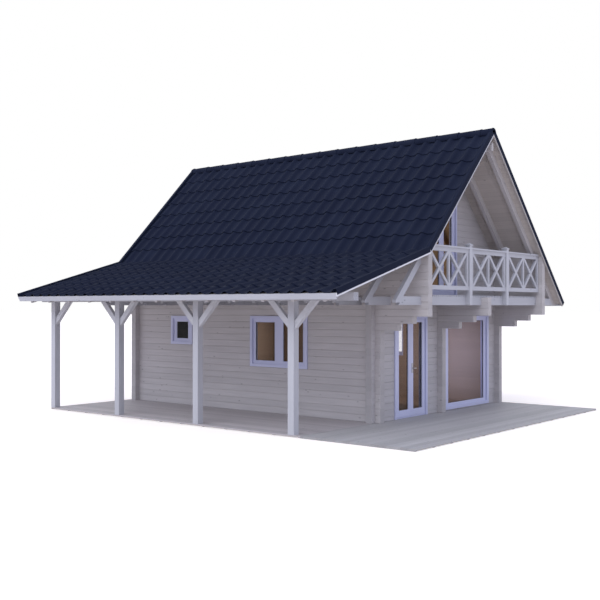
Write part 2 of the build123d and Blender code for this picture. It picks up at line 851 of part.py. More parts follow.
# Lever handle on the right leaf, outside
with BuildPart() as door_handle:
    handle_x = leaf_inner + leaf_stile / 2
    with BuildSketch(front_door.plane):
        with Locations((handle_x, handle_height)):
            RectangleRounded(handle_plate_width, handle_plate_height, handle_plate_corner)
    extrude(amount=handle_plate_depth)
    with BuildSketch(front_door.plane.offset(handle_plate_depth)):
        with Locations((handle_x, handle_height)):
            Circle(handle_bar / 2)
    extrude(amount=handle_neck)
    with BuildSketch(front_door.plane.offset(handle_plate_depth + handle_neck)):
        with Locations((handle_x + handle_length / 2 - handle_bar / 2, handle_height)):
            SlotOverall(handle_length, handle_bar)
    extrude(amount=handle_bar)
save(door_handle, "door_handle")

# Balcony railing: two posts on the front truss, three bays with crosses between them
rail_back = front_truss - frame_width / 2
bay_width = (inner_x + inner_x) / rail_bays
rail_axes = [-inner_x + k * bay_width for k in range(1, rail_bays)]

with BuildPart() as railing_posts:
    for axis in rail_axes:
        spans = (axis - rail_post / 2, axis + rail_post / 2)
        depth_span = (rail_back - rail_post, rail_back)
        top = loft_floor + rail_post_rise
        block(spans, depth_span, (tie_base, top))
        block((spans[0] - rail_post_cap_lap, spans[1] + rail_post_cap_lap),
              (depth_span[0] - rail_post_cap_lap, depth_span[1] + rail_post_cap_lap),
              (top, top + rail_post_cap))
        cap_side = rail_post + rail_post_cap_lap + rail_post_cap_lap
        for height, side in ((rail_post_cap, cap_side), (rail_post_cap + rail_post_point, rail_post_tip)):
            with BuildSketch(Plane.XY.offset(top + height)):
                with Locations((axis, rail_back - rail_post / 2)):
                    Rectangle(side, side)
        loft()
save(railing_posts, "railing_posts")

with BuildPart() as balcony_railing:
    rail_plane = Plane.XZ.offset(rail_post / 2 - rail_back)
    bottom_low = loft_floor + bottom_rail_rise
    bottom_high = bottom_low + rail_width
    top_high = loft_floor + hand_rail_top - hand_rail_depth
    top_low = top_high - rail_width
    lefts = [-inner_x] + [axis + rail_post / 2 for axis in rail_axes]
    rights = [axis - rail_post / 2 for axis in rail_axes] + [inner_x]
    for left, right in zip(lefts, rights):
        middle = (left + right) / 2
        half = (right - left) / 2
        clear = half - rail_stile_gap - rail_stile
        panel_half = (clear - rail_stile / 2) / 2
        panel_height = top_low - bottom_high
        lean = degrees(atan2(panel_height, panel_half + panel_half))
        with BuildSketch(rail_plane):
            with Locations((middle, (bottom_low + bottom_high) / 2), (middle, (top_low + top_high) / 2)):
                Rectangle(half + half, rail_width)
            stiles = [(middle + share * (clear + rail_stile / 2), (bottom_low + top_high) / 2)
                      for share in (-1, 1)]
            with Locations(*stiles, (middle, (bottom_low + top_high) / 2)):
                Rectangle(rail_stile, top_high - bottom_low)
            for share in (-1, 1):
                with Locations((middle + share * (clear - panel_half), (bottom_high + top_low) / 2)):
                    for angle in (-lean, lean):
                        Rectangle(hypot(panel_height, panel_half + panel_half), cross_bar,
                                  rotation=angle)
        extrude(amount=rail_thickness / 2, both=True)
        hand_rail_front = rail_back - rail_post / 2 - hand_rail_width / 2
        block((left, right), (hand_rail_front, hand_rail_front + hand_rail_width),
              (top_high, top_high + hand_rail_depth))
    trim_under_roof(inner_x, rail_back - rail_post, rail_back)
save(balcony_railing, "balcony_railing")
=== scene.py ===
"""The looks of a log house with a balcony, a roofed veranda and decking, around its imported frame.

Metres. X runs across the front gable, Y from the front to the back and Z is up, as in the frame.
"""
import logging
import math
from dataclasses import dataclass, field
from enum import Enum
from typing import Any, Sequence

import bpy
import numpy as np
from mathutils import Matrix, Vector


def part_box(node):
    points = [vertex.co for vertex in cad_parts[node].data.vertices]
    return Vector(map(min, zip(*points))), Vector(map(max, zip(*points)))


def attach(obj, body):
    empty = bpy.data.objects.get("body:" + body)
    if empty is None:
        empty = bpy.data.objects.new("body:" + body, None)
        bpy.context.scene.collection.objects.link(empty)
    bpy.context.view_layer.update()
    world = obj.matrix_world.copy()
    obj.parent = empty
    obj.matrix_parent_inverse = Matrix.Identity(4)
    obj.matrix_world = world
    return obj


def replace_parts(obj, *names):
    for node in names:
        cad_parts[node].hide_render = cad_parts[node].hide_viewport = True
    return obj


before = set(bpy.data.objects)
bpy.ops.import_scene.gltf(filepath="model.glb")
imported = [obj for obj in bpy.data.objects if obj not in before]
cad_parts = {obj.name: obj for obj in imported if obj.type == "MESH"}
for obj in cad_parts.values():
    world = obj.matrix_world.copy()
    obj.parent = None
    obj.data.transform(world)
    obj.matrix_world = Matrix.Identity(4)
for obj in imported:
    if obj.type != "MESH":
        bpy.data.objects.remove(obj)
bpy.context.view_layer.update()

HOUSE = "house"
TILE_UV = "tiles"
CREASE = math.radians(35.0)
LOG = logging.getLogger("log_house")

Colour = tuple[float, float, float]
Direction = tuple[float, float, float]

X: Direction = (1.0, 0.0, 0.0)
Y: Direction = (0.0, 1.0, 0.0)
Z: Direction = (0.0, 0.0, 1.0)

MAIN_PITCH = math.radians(45.65)
VERANDA_PITCH = math.radians(16.0)
SLOPE_LEFT: Direction = (-math.cos(MAIN_PITCH), 0.0, -math.sin(MAIN_PITCH))
SLOPE_RIGHT: Direction = (math.cos(MAIN_PITCH), 0.0, -math.sin(MAIN_PITCH))
SLOPE_VERANDA: Direction = (-math.cos(VERANDA_PITCH), 0.0, -math.sin(VERANDA_PITCH))

# Distances of the side walls' axes and of the gable walls' axes from the middle
WALL_X = 2.5
WALL_Y = 3.5

# Height of a log, and widths of a roof board, a deck board and a balcony board
COURSE = 0.14
BOARDING = 0.12
DECKING = 0.145
BALCONY_BOARD = 0.07

# A width that no beam reaches, so that a beam counts as one board
BEAM = 0.3

WASHED: Colour = (0.49, 0.465, 0.465)
# The side walls' logs are the same washed wood, painted lighter as painted light against the shade under the
# veranda roof.
WASHED_SIDE_PAINTED_LIGHT: Colour = (0.525, 0.495, 0.49)
PALE: Colour = (0.45, 0.453, 0.485)
POSTS: Colour = (0.475, 0.477, 0.508)
BRACES: Colour = (0.53, 0.53, 0.555)
# The three barge colours are one pale paint: the veranda's is painted lighter as painted light, and the right
# slope's darker and browner as painted shade.
LIT_VERANDA_BARGE: Colour = (0.72, 0.72, 0.75)
LEFT_BARGE: Colour = (0.5, 0.5, 0.525)
SHADED_RIGHT_BARGE: Colour = (0.41, 0.385, 0.37)
SOFFIT: Colour = (0.5, 0.455, 0.42)
PINE: Colour = (0.38, 0.275, 0.19)
WEATHERED: Colour = (0.40, 0.387, 0.387)
SHELTERED: Colour = (0.432, 0.397, 0.4)


class Slot(str, Enum):
    """The record's material slots, one for each kind of new piece."""

    FRAME = "white_frame"
    DECK = "decking"
    TILE = "roof_tile"
    METAL = "handle_metal"


class Value:
    """One number of a node tree, on which Python's operators add Math nodes."""

    def __init__(self, shading: "Shading", socket: bpy.types.NodeSocket) -> None:
        """Wrap an output socket of a shading's node tree."""
        self.shading = shading
        self.socket = socket

    def output(self, name: str) -> "Value":
        """Another output of the same node, by its name."""
        return Value(self.shading, self.socket.node.outputs[name])

    def math(self, operation: str, *others: "Value | float") -> "Value":
        """Apply a Math node, with this value as its first input."""
        return self.shading.math(operation, self, *others)

    def __add__(self, other: "Value | float") -> "Value":
        """Sum."""
        return self.math("ADD", other)

    def __sub__(self, other: "Value | float") -> "Value":
        """Difference."""
        return self.math("SUBTRACT", other)

    def __rsub__(self, other: float) -> "Value":
        """Difference from a number."""
        return self.shading.math("SUBTRACT", other, self)

    def __mul__(self, other: "Value | float") -> "Value":
        """Product."""
        return self.math("MULTIPLY", other)

    def __truediv__(self, other: "Value | float") -> "Value":
        """Quotient."""
        return self.math("DIVIDE", other)

    def __rtruediv__(self, other: float) -> "Value":
        """Quotient of a number."""
        return self.shading.math("DIVIDE", other, self)

    def __lt__(self, other: "Value | float") -> "Value":
        """One where this value is the smaller, zero elsewhere."""
        return self.math("LESS_THAN", other)

    def __gt__(self, other: "Value | float") -> "Value":
        """One where this value is the larger, zero elsewhere."""
        return self.math("GREATER_THAN", other)

    def __abs__(self) -> "Value":
        """Size without sign."""
        return self.math("ABSOLUTE")

    def __floor__(self) -> "Value":
        """Whole number below."""
        return self.math("FLOOR")

    __radd__ = __add__
    __rmul__ = __mul__


class Shading:
    """The node tree of a procedural material, or of the world, under construction."""

    def __init__(self, name: str, world: bool = False) -> None:
        """Start an empty node tree with an output."""
        self.owner = (bpy.data.worlds if world else bpy.data.materials).new(name)
        self.owner.use_nodes = True
        self.tree = self.owner.node_tree
        self.tree.nodes.clear()
        self.result = self.tree.nodes.new("ShaderNodeOutputWorld" if world else "ShaderNodeOutputMaterial")

    def node(self, kind: str, settings: dict[str, Any] | None = None,
             inputs: dict[str | int, Any] | None = None, output: str | int = 0) -> Value:
        """Add a node of any kind.

        Args:
            kind: Blender's name of the node's type.
            settings: the node's own properties, set first.
            inputs: the values or links of its sockets, by name or number.
            output: the socket that is returned.

        Returns:
            The chosen output.
        """
        made = self.tree.nodes.new(kind)
        for name, setting in (settings or {}).items():
            setattr(made, name, setting)
        for name, value in (inputs or {}).items():
            socket = made.inputs[name]
            if isinstance(value, Value):
                self.tree.links.new(value.socket, socket)
            elif isinstance(value, tuple) and len(value) == 3 and socket.type == "RGBA":
                socket.default_value = (*value, 1.0)
            else:
                socket.default_value = value
        return Value(self, made.outputs[output])

    def math(self, operation: str, *terms: Value | float) -> Value:
        """Add a Math node with these terms as its inputs."""
        return self.node("ShaderNodeMath", {"operation": operation}, dict(enumerate(terms)))

    def place(self) -> Value:
        """The point of the surface, in the object's own frame."""
        return self.node("ShaderNodeTexCoord", output="Object")

    def facing(self) -> Value:
        """The direction in which the surface faces, in the object's own frame."""
        return self.node("ShaderNodeTexCoord", output="Normal")

    def along(self, vector: Value, direction: Direction) -> Value:
        """How far a vector reaches in a direction."""
        return self.node("ShaderNodeVectorMath", {"operation": "DOT_PRODUCT"},
                         {0: vector, 1: direction}, output="Value")

    def combine(self, x: Value | float, y: Value | float, z: Value | float) -> Value:
        """A vector of three numbers."""
        return self.node("ShaderNodeCombineXYZ", None, {0: x, 1: y, 2: z})

    def noise(self, vector: Value, scale: float, detail: float = 3.0, wander: float = 0.0) -> Value:
        """Soft noise between zero and one."""
        return self.node("ShaderNodeTexNoise", None,
                         {"Vector": vector, "Scale": scale, "Detail": detail, "Distortion": wander})

    def chance(self, number: Value, seed: float = 0.0) -> Value:
        """A random number for each value of another number."""
        return self.node("ShaderNodeTexWhiteNoise", {"noise_dimensions": "1D"},
                         {"W": number + seed})

    def ease(self, value: Value, low: float, high: float, at_low: float = 0.0,
             at_high: float = 1.0) -> Value:
        """A smooth step from one number to another while a value goes from low to high."""
        return self.node("ShaderNodeMapRange", {"interpolation_type": "SMOOTHSTEP"},
                         {"Value": value, "From Min": low, "From Max": high,
                          "To Min": at_low, "To Max": at_high})

    def mix(self, share: Value | float, first: Value | Colour, second: Value | Colour) -> Value:
        """A mixture of two colours."""
        return self.node("ShaderNodeMix", {"data_type": "RGBA"}, {0: share, 6: first, 7: second},
                         output=2)

    def scaled(self, colour: Value | Colour, factor: Value) -> Value:
        """A colour made lighter or darker by a factor."""
        return self.node("ShaderNodeVectorMath", {"operation": "SCALE"},
                         {"Vector": colour, "Scale": factor})

    def bump(self, height: Value, distance: float) -> Value:
        """A normal tilted by a height, which is in units of the distance."""
        return self.node("ShaderNodeBump", None, {"Height": height, "Distance": distance, "Strength": 1.0})

    def surface(self, **sockets: Any) -> bpy.types.Material:
        """Close the material with a Principled shader.

        Args:
            sockets: its sockets by name, with _ for each space.

        Returns:
            The finished material.
        """
        named = {name.replace("_", " "): value for name, value in sockets.items()}
        shader = self.node("ShaderNodeBsdfPrincipled", None, named)
        return self.close(shader)

    def watched(self) -> Value:
        """Tell the rays that show the background.

        Returns:
            One for rays that come from the camera, from a mirror or through a pane, zero for the others.
        """
        path = self.node("ShaderNodeLightPath", output="Is Camera Ray")
        mirrored = self.math("MAXIMUM", path, path.output("Is Glossy Ray"))
        return self.math("MAXIMUM", mirrored, path.output("Is Transmission Ray"))

    def close(self, shader: Value) -> bpy.types.Material | bpy.types.World:
        """Link a shader to the output and return the material or the world."""
        self.tree.links.new(shader.socket, self.result.inputs["Surface"])
        return self.owner


@dataclass(frozen=True)
class WoodFinish:
    """Washed, painted or varnished wood: grain along one direction, boards side by side in another.

    A stretch is how many features a pattern has in a metre, along the grain and across it. Spreads, shares,
    depths and lights are parts of the wood's colour, and reliefs are parts of the whole relief.
    """

    name: str
    grain: Direction
    across: Direction
    outside: Colour
    inside: Colour | None = None
    room: tuple[float, float] = (WALL_X, WALL_Y)
    board: float = BEAM
    first_joint: float = 0.0
    joint_width: float = 0.0
    joint_light: float = -0.02
    tone_spread: float = 0.1
    tone_seed: float = 3.7
    tone_shift: float = 9.0
    grain_spread: float = 0.17
    band_stretch: tuple[float, float] = (1.1, 17.0)
    fibre_stretch: tuple[float, float] = (7.0, 170.0)
    fibre_share: float = 0.4
    weather_scale: float = 0.9
    weather_spread: float = 0.14
    knot_stretch: tuple[float, float] = (4.0, 9.0)
    knot_seed: float = 1.3
    knot_share: float = 0.5
    knot_edge: tuple[float, float] = (0.16, 0.06)
    knot_depth: float = 0.34
    heart: float | None = None
    end_edge: tuple[float, float] = (0.8, 0.95)
    end_light: float = 0.92
    ring_rate: float = 70.0
    ring_wander: float = 0.12
    ring_depth: float = 0.14
    roughness: float = 0.62
    fibre_roughness: float = 0.16
    knot_roughness: float = 0.1
    relief: float = 0.0012
    band_relief: float = 0.5
    fibre_relief: float = 0.35
    knot_relief: float = 0.3

    def material(self) -> bpy.types.Material:
        """Make the wood.

        Each board has its own tone and its own stretch of a grain that is drawn out along it. Knots are
        the cores of long cells. Joints between boards have a tone of their own, ends show growth rings,
        and the colour turns from the outside one to the inside one at the walls' axes.

        Returns:
            The material.
        """
        s = Shading(self.name)
        place = s.place()
        third = tuple(float(number) for number in np.cross(self.grain, self.across))
        run, rise, depth = (s.along(place, axis) for axis in (self.grain, self.across, third))
        step = (rise - self.first_joint) / self.board
        index = math.floor(step)
        part = step - index
        tone = s.chance(index, self.tone_seed)
        start = run + tone * self.tone_shift

        def stretched(stretch: tuple[float, float]) -> Value:
            """The place on the board, for a pattern that is drawn out along it."""
            return s.combine(start * stretch[0], rise * stretch[1], depth * stretch[1])

        bands = s.noise(stretched(self.band_stretch), scale=1.0, detail=4.0, wander=0.6)
        fibres = s.noise(stretched(self.fibre_stretch), scale=1.0, detail=2.0)
        weather = s.noise(place, self.weather_scale)
        cells = s.node("ShaderNodeTexVoronoi", {"feature": "F1"},
                       {"Vector": stretched(self.knot_stretch), "Scale": 1.0, "Randomness": 1.0})
        picked = s.chance(math.floor(start * self.knot_stretch[0]), self.knot_seed) < self.knot_share
        knots = s.ease(cells, *self.knot_edge) * picked

        ends = s.ease(abs(s.along(s.facing(), self.grain)), *self.end_edge)
        if self.heart is None:
            reach = part - 0.5
        else:
            sideways = (abs(depth) - self.heart) / self.board
            reach = s.math("SQRT", (part - 0.5) * (part - 0.5) + sideways * sideways)
        rings = s.math("SINE", (reach + bands * self.ring_wander) * self.ring_rate) * 0.5 + 0.5

        light = 1.0 + (tone - 0.5) * self.tone_spread + (0.5 - bands) * self.grain_spread
        light = light + (fibres - 0.5) * (self.fibre_share * self.grain_spread)
        light = light + (weather - 0.5) * self.weather_spread
        end_tone = self.end_light - rings * self.ring_depth + (tone - 0.5) * self.tone_spread
        light = light + ends * (end_tone - light)
        light = light * (1.0 - knots * (1.0 - ends) * self.knot_depth)
        if self.joint_width:
            joint = s.math("MINIMUM", part, 1.0 - part) * self.board
            light = light * (1.0 + s.ease(joint, self.joint_width, 0.0) * self.joint_light)

        colour: Value | Colour = self.outside
        if self.inside:
            indoors = (abs(s.along(place, X)) < self.room[0]) * (abs(s.along(place, Y)) < self.room[1])
            colour = s.mix(indoors, self.outside, self.inside)
        height = (1.0 - bands) * self.band_relief + fibres * self.fibre_relief - knots * self.knot_relief
        roughness = self.roughness + (fibres - 0.5) * self.fibre_roughness + knots * self.knot_roughness
        return s.surface(Base_Color=s.scaled(colour, light), Roughness=roughness,
                         Normal=s.bump(height, self.relief))


@dataclass(frozen=True)
class FramePaint:
    """Cool white brushed paint on the frames of windows and doors."""

    name: str = "cool_white_frame_paint"
    colour: Colour = (0.57, 0.585, 0.77)
    mark_scale: float = 55.0
    mark_spread: float = 0.06
    mark_relief: float = 0.0006
    cloud_scale: float = 2.2
    cloud_spread: float = 0.12
    roughness: float = 0.38
    roughness_spread: float = 0.12

    def material(self) -> bpy.types.Material:
        """Make the paint: faint brush marks, soft clouds in its tone and an uneven gloss.

        Returns:
            The material.
        """
        s = Shading(self.name)
        place = s.place()
        marks = s.noise(place, self.mark_scale, wander=1.2)
        clouds = s.noise(place, self.cloud_scale)
        light = 1.0 + (marks - 0.5) * self.mark_spread + (clouds - 0.5) * self.cloud_spread
        return s.surface(Base_Color=s.scaled(self.colour, light),
                         Roughness=self.roughness + (marks - 0.5) * self.roughness_spread,
                         Normal=s.bump(marks, self.mark_relief))


@dataclass(frozen=True)
class TileFinish:
    """Dark blue-black coated tile sheet with a low sheen, a little different from tile to tile.

    The dusts are how much of the lighter colour comes from clouds and from each tile's tone. The rolls' part
    of it is painted shade and light: each roll is darker on its front flank and lighter on its back flank.
    """

    name: str = "blue_black_tile_coat"
    colour: Colour = (0.0083, 0.0115, 0.0273)
    dusty_and_lit: Colour = (0.02, 0.0256, 0.0475)
    cloud_scale: float = 1.4
    cloud_edge: tuple[float, float] = (0.42, 0.75)
    cloud_dust: float = 0.3
    tile_dust: float = 0.18
    roll_painted_shade: float = 0.28
    tile_seeds: tuple[float, float] = (3.17, 17.3)
    grit_scale: float = 260.0
    grit_spread: float = 0.2
    grit_relief: float = 0.0005
    roughness: float = 0.68
    cloud_roughness: float = 0.2
    tile_roughness: float = 0.08
    mirror: float = 0.045

    def material(self) -> bpy.types.Material:
        """Make the coat.

        The UV map counts the tiles, so each has a tone of its own. Dust lies in clouds, and each roll is
        painted darker on its front flank and lighter on its back flank as painted shade and light. Fine grit
        covers all.

        Returns:
            The material.
        """
        s = Shading(self.name)
        tile = s.node("ShaderNodeUVMap", {"uv_map": TILE_UV})
        place = s.place()
        column, row = (math.floor(s.along(tile, axis)) for axis in (X, Y))
        tone = s.chance(column * self.tile_seeds[0] + row * self.tile_seeds[1])
        clouds = s.noise(place, self.cloud_scale, detail=4.0)
        grit = s.noise(place, self.grit_scale, detail=2.0)
        # Painted shade and light: each roll is darker on its front flank and lighter on its back flank, for
        # how the light falls on the rolls.
        flank_painted_shade = 0.5 - s.math("SINE", s.along(tile, X) * math.tau) * 0.5
        dust_and_flank_shade = s.ease(clouds, *self.cloud_edge) * self.cloud_dust
        dust_and_flank_shade = dust_and_flank_shade + tone * self.tile_dust + flank_painted_shade * self.roll_painted_shade
        light = 1.0 - self.grit_spread / 2 + grit * self.grit_spread
        roughness = self.roughness + (clouds - 0.5) * self.cloud_roughness
        roughness = roughness + (tone - 0.5) * self.tile_roughness
        return s.surface(Base_Color=s.scaled(s.mix(dust_and_flank_shade, self.colour, self.dusty_and_lit), light),
                         Roughness=roughness, Specular_IOR_Level=self.mirror,
                         Normal=s.bump(grit, self.grit_relief))


@dataclass(frozen=True)
class PaneGlass:
    """Clear glass that mirrors the sky a little. Towards the back it is dark and nearly opaque, a painted
    shade of the unlit rooms where no lamp is lit inside.
    """

    name: str = "window_glass"
    colour: Colour = (0.012, 0.014, 0.014)
    opacity: float = 0.12
    painted_shade_opacity: float = 0.75
    painted_shade_span: tuple[float, float] = (0.6, 1.0)
    streak_scale: float = 3.0
    roughness: float = 0.015
    streak_roughness: float = 0.03
    mirror: float = 0.1

    def material(self) -> bpy.types.Material:
        """Make the glass: clear in front, and dark and nearly opaque behind as painted shade of the unlit
        rooms, with faint streaks in its gloss.

        Returns:
            The material.
        """
        s = Shading(self.name)
        place = s.place()
        streaks = s.noise(place, self.streak_scale, wander=0.5)
        # Painted shade: the dark glass grows nearly opaque towards the back, in place of the unlit rooms
        # behind the panes.
        opacity = s.ease(s.along(place, Y), *self.painted_shade_span, self.opacity, self.painted_shade_opacity)
        return s.surface(Base_Color=self.colour, Roughness=self.roughness + streaks * self.streak_roughness,
                         Alpha=opacity, IOR=1.5, Specular_IOR_Level=self.mirror)


@dataclass(frozen=True)
class SteelFinish:
    """Satin steel of the handle and the deck screws."""

    name: str = "satin_steel"
    colour: Colour = (0.36, 0.36, 0.37)
    line_stretch: tuple[float, float] = (900.0, 30.0)
    line_spread: float = 0.16
    line_relief: float = 0.0002
    roughness: float = 0.3
    line_roughness: float = 0.14

    def material(self) -> bpy.types.Material:
        """Make the steel: fine upright brush lines.

        Returns:
            The material.
        """
        s = Shading(self.name)
        place = s.place()
        across, upright = self.line_stretch
        drawn = s.combine(s.along(place, X) * across, s.along(place, Y) * across, s.along(place, Z) * upright)
        lines = s.noise(drawn, scale=1.0, detail=2.0)
        light = 1.0 - self.line_spread / 2 + lines * self.line_spread
        return s.surface(Base_Color=s.scaled(self.colour, light), Metallic=1.0,
                         Roughness=self.roughness + lines * self.line_roughness,
                         Normal=s.bump(lines, self.line_relief))


@dataclass(frozen=True)
class GasketRubber:
    """Dark sealing strip between a pane and its beads."""

    name: str = "dark_gasket"
    colour: Colour = (0.025, 0.025, 0.028)
    grain_scale: float = 420.0
    grain_spread: float = 0.4
    grain_relief: float = 0.0002
    roughness: float = 0.7
    grain_roughness: float = 0.15

    def material(self) -> bpy.types.Material:
        """Make the rubber: matt, with a fine grain.

        Returns:
            The material.
        """
        s = Shading(self.name)
        grain = s.noise(s.place(), self.grain_scale, detail=2.0)
        light = 1.0 - self.grain_spread / 2 + grain * self.grain_spread
        return s.surface(Base_Color=s.scaled(self.colour, light),
                         Roughness=self.roughness + grain * self.grain_roughness,
                         Normal=s.bump(grain, self.grain_relief))


@dataclass
class Surface:
    """A mesh as whole arrays: points, quads and, where a finish counts tiles, one UV pair a point."""

    points: np.ndarray
    quads: np.ndarray
    uv: np.ndarray | None = None

    @staticmethod
    def joined(parts: Sequence["Surface"]) -> "Surface":
        """Put several surfaces into one, with their quads renumbered.

        Args:
            parts: the surfaces, in order.

        Returns:
            The whole, without UV pairs.
        """
        counts = np.cumsum([0] + [len(part.points) for part in parts[:-1]])
        return Surface(np.concatenate([part.points for part in parts]),
                       np.concatenate([part.quads + count for part, count in zip(parts, counts)]))

    def piece(self, name: str, material: bpy.types.Material, body: str, slot: Slot) -> bpy.types.Object:
        """Put the surface into Blender as a piece that rides on a body.

        Args:
            name: the piece's name.
            material: its finish.
            body: the CAD body that it moves with.
            slot: the record's slot of its finish, not used.

        Returns:
            The piece.
        """
        mesh = bpy.data.meshes.new(name)
        mesh.from_pydata(self.points, [], self.quads)
        if self.uv is not None:
            layer = mesh.uv_layers.new(name=TILE_UV)
            corners = self.uv[self.quads.ravel()].astype(np.float32)
            layer.uv.foreach_set("vector", corners.ravel())
        mesh.shade_smooth()
        mesh.set_sharp_from_angle(angle=CREASE)
        mesh.materials.append(material)
        made = bpy.data.objects.new(name, mesh)
        bpy.context.scene.collection.objects.link(made)
        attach(made, body)
        LOG.info("%s: %d quads on %s", name, len(self.quads), body)
        return made


def grid_quads(rows: int, columns: int) -> np.ndarray:
    """Number the quads of an open grid of points, column first and then row.

    Args:
        rows: the grid's points in one direction.
        columns: its points in the other.

    Returns:
        Four point numbers for each quad.
    """
    number = np.arange(rows * columns).reshape(rows, columns)
    return np.stack([number[:-1, :-1], number[:-1, 1:], number[1:, 1:], number[1:, :-1]],
                    axis=-1).reshape(-1, 4)


def thick_sheet(top: np.ndarray, bottom: np.ndarray, flip: bool = False,
                uv: np.ndarray | None = None) -> Surface:
    """A closed sheet between two grids of points.

    The top grid, the bottom grid turned over, and a strip round the border that joins them.

    Args:
        top: points of the outer face, as rows by columns by 3.
        bottom: points of the inner face, in the same order.
        flip: whether the grid's own normal points inwards.
        uv: one pair of numbers for each point of the top grid.

    Returns:
        The closed surface.
    """
    rows, columns = top.shape[:2]
    count = rows * columns
    face = grid_quads(rows, columns)
    number = np.arange(count).reshape(rows, columns)
    border = np.concatenate([number[0, :-1], number[:-1, -1], number[-1, :0:-1], number[:0:-1, 0]])
    following = np.roll(border, -1)
    strip = np.stack([following, border, border + count, following + count], axis=-1)
    quads = np.concatenate([face, face[:, ::-1] + count, strip])
    pairs = None if uv is None else np.tile(uv.reshape(-1, 2), (2, 1))
    return Surface(np.concatenate([top.reshape(-1, 3), bottom.reshape(-1, 3)]),
                   quads[:, ::-1] if flip else quads, pairs)


def planks(low: np.ndarray, high: np.ndarray, lengthwise: int, bevel: float) -> Surface:
    """Boards with bevelled upper edges.

    A six-point section, square below and bevelled above, is carried from one end of each board to the
    other and closed by two quads at each end.

    Args:
        low: the lowest corner of each board, as boards by 3.
        high: the highest corner of each board.
        lengthwise: the axis that the boards run along, 0 or 1.
        bevel: size of the bevel.

    Returns:
        All boards as one surface.
    """
    sideways = 1 - lengthwise
    left, right = low[:, sideways], high[:, sideways]
    base, top = low[:, 2], high[:, 2]
    width = np.stack([left, right, right, right - bevel, left + bevel, left], axis=-1)
    height = np.stack([base, base, top - bevel, top, top, top - bevel], axis=-1)
    points = np.empty((len(low), 2, width.shape[-1], 3))
    points[..., sideways] = width[:, None, :]
    points[..., 2] = height[:, None, :]
    points[:, 0, :, lengthwise] = low[:, None, lengthwise]
    points[:, 1, :, lengthwise] = high[:, None, lengthwise]
    count = width.shape[-1]
    ring = np.arange(count)
    after = np.roll(ring, -1)
    sides = np.stack([ring, after, after + count, ring + count], axis=-1)
    cap = np.array([[0, 5, 2, 1], [2, 5, 4, 3]])
    quads = np.concatenate([sides, cap, cap[:, ::-1] + count])
    if lengthwise == 1:
        quads = quads[:, ::-1]
    numbered = quads[None] + 2 * count * np.arange(len(low))[:, None, None]
    return Surface(points.reshape(-1, 3), numbered.reshape(-1, 4))


def screw_heads(centres: np.ndarray, radius: float, proud: float) -> Surface:
    """Flat round heads that face up.

    Each is an eight-sided disc with a chamfered rim, sunk into the board.

    Args:
        centres: the middle of each head on the board's face, as heads by 3.
        radius: size of a head.
        proud: how far a head stands over the board.

    Returns:
        All heads as one surface.
    """
    sides = 8
    ring = np.arange(sides)
    turn = ring * (math.tau / sides)
    circle = np.stack([np.cos(turn), np.sin(turn)], axis=-1)
    points = np.empty((len(centres), 3, sides, 3))
    for level, (share, lift) in enumerate(((1.0, -proud), (1.0, proud / 2), (0.8, proud))):
        points[:, level, :, :2] = centres[:, None, :2] + circle * (radius * share)
        points[:, level, :, 2] = centres[:, None, 2] + lift
    after = np.roll(ring, -1)
    walls = np.stack([ring, after, after + sides, ring + sides], axis=-1)
    lid = np.array([[0, 1, 2, 3], [0, 3, 4, 7], [4, 5, 6, 7]])
    quads = np.concatenate([walls, walls + sides, lid + 2 * sides, lid[:, ::-1]])
    numbered = quads[None] + 3 * sides * np.arange(len(centres))[:, None, None]
    return Surface(points.reshape(-1, 3), numbered.reshape(-1, 4))


def frame_ring(low: np.ndarray, high: np.ndarray, level: float, plane: tuple[int, int, int],
               section: np.ndarray) -> Surface:
    """A closed section carried round a rectangle with mitred corners.

    Each section point is an inset from the rectangle's edge and a height over its plane; at each of the
    four corners the section lies on the mitre.

    Args:
        low: the rectangle's lowest corner, as two numbers.
        high: the rectangle's highest corner.
        level: place of the plane along its normal.
        plane: the axes of the rectangle's first and second side and of its normal.
        section: inset and height of each point of the section, in order.

    Returns:
        The ring.
    """
    corner = np.array([[0, 0], [1, 0], [1, 1], [0, 1]])
    inset = section[None, :, :1] * (1 - 2 * corner[:, None, :])
    spots = low + (high - low) * corner
    points = np.empty((4, len(section), 3))
    points[..., list(plane[:2])] = spots[:, None, :] + inset
    points[..., plane[2]] = level + section[None, :, 1]
    count = len(section)
    number = np.arange(4 * count).reshape(4, count)
    beyond = np.roll(number, -1, axis=0)
    quads = np.stack([number, beyond, np.roll(beyond, -1, axis=1), np.roll(number, -1, axis=1)],
                     axis=-1).reshape(-1, 4)
    return outward(Surface(points.reshape(-1, 3), quads))


def outward(closed: Surface) -> Surface:
    """Turn a closed surface so that its volume, the sum of its quads' signed cones, is positive.

    Args:
        closed: the surface.

    Returns:
        The surface with its faces outwards.
    """
    a, b, c, d = (closed.points[closed.quads[:, corner]] for corner in range(4))
    volume = np.einsum("ij,ij->", a, np.cross(b, c) + np.cross(c, d))
    return closed if volume > 0 else Surface(closed.points, closed.quads[:, ::-1], closed.uv)


def islands(node: str) -> list[tuple[np.ndarray, np.ndarray]]:
    """Find the separate solids in a CAD node from the corners that its triangles share.

    Each corner takes the lowest number among the corners of its triangles, until no number changes.

    Args:
        node: the CAD node's name.

    Returns:
        The lowest and the highest corner of each solid's box.
    """
    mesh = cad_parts[node].data
    co = np.empty(len(mesh.vertices) * 3)
    mesh.vertices.foreach_get("co", co)
    corner = np.empty(len(mesh.loops), dtype=int)
    mesh.loops.foreach_get("vertex_index", corner)
    # Corners on the same tenth of a millimetre are one
    spots, same = np.unique(np.round(co.reshape(-1, 3), 4), axis=0, return_inverse=True)
    triangles = same.ravel()[corner].reshape(-1, 3)
    label = np.arange(len(spots))
    settled = False
    while not settled:
        lowest = label[triangles].min(axis=1)
        fresh = label.copy()
        np.minimum.at(fresh, triangles.ravel(), np.repeat(lowest, 3))
        settled = bool((fresh == label).all())
        label = fresh
    return [(spots[label == kind].min(axis=0), spots[label == kind].max(axis=0))
            for kind in np.unique(label)]


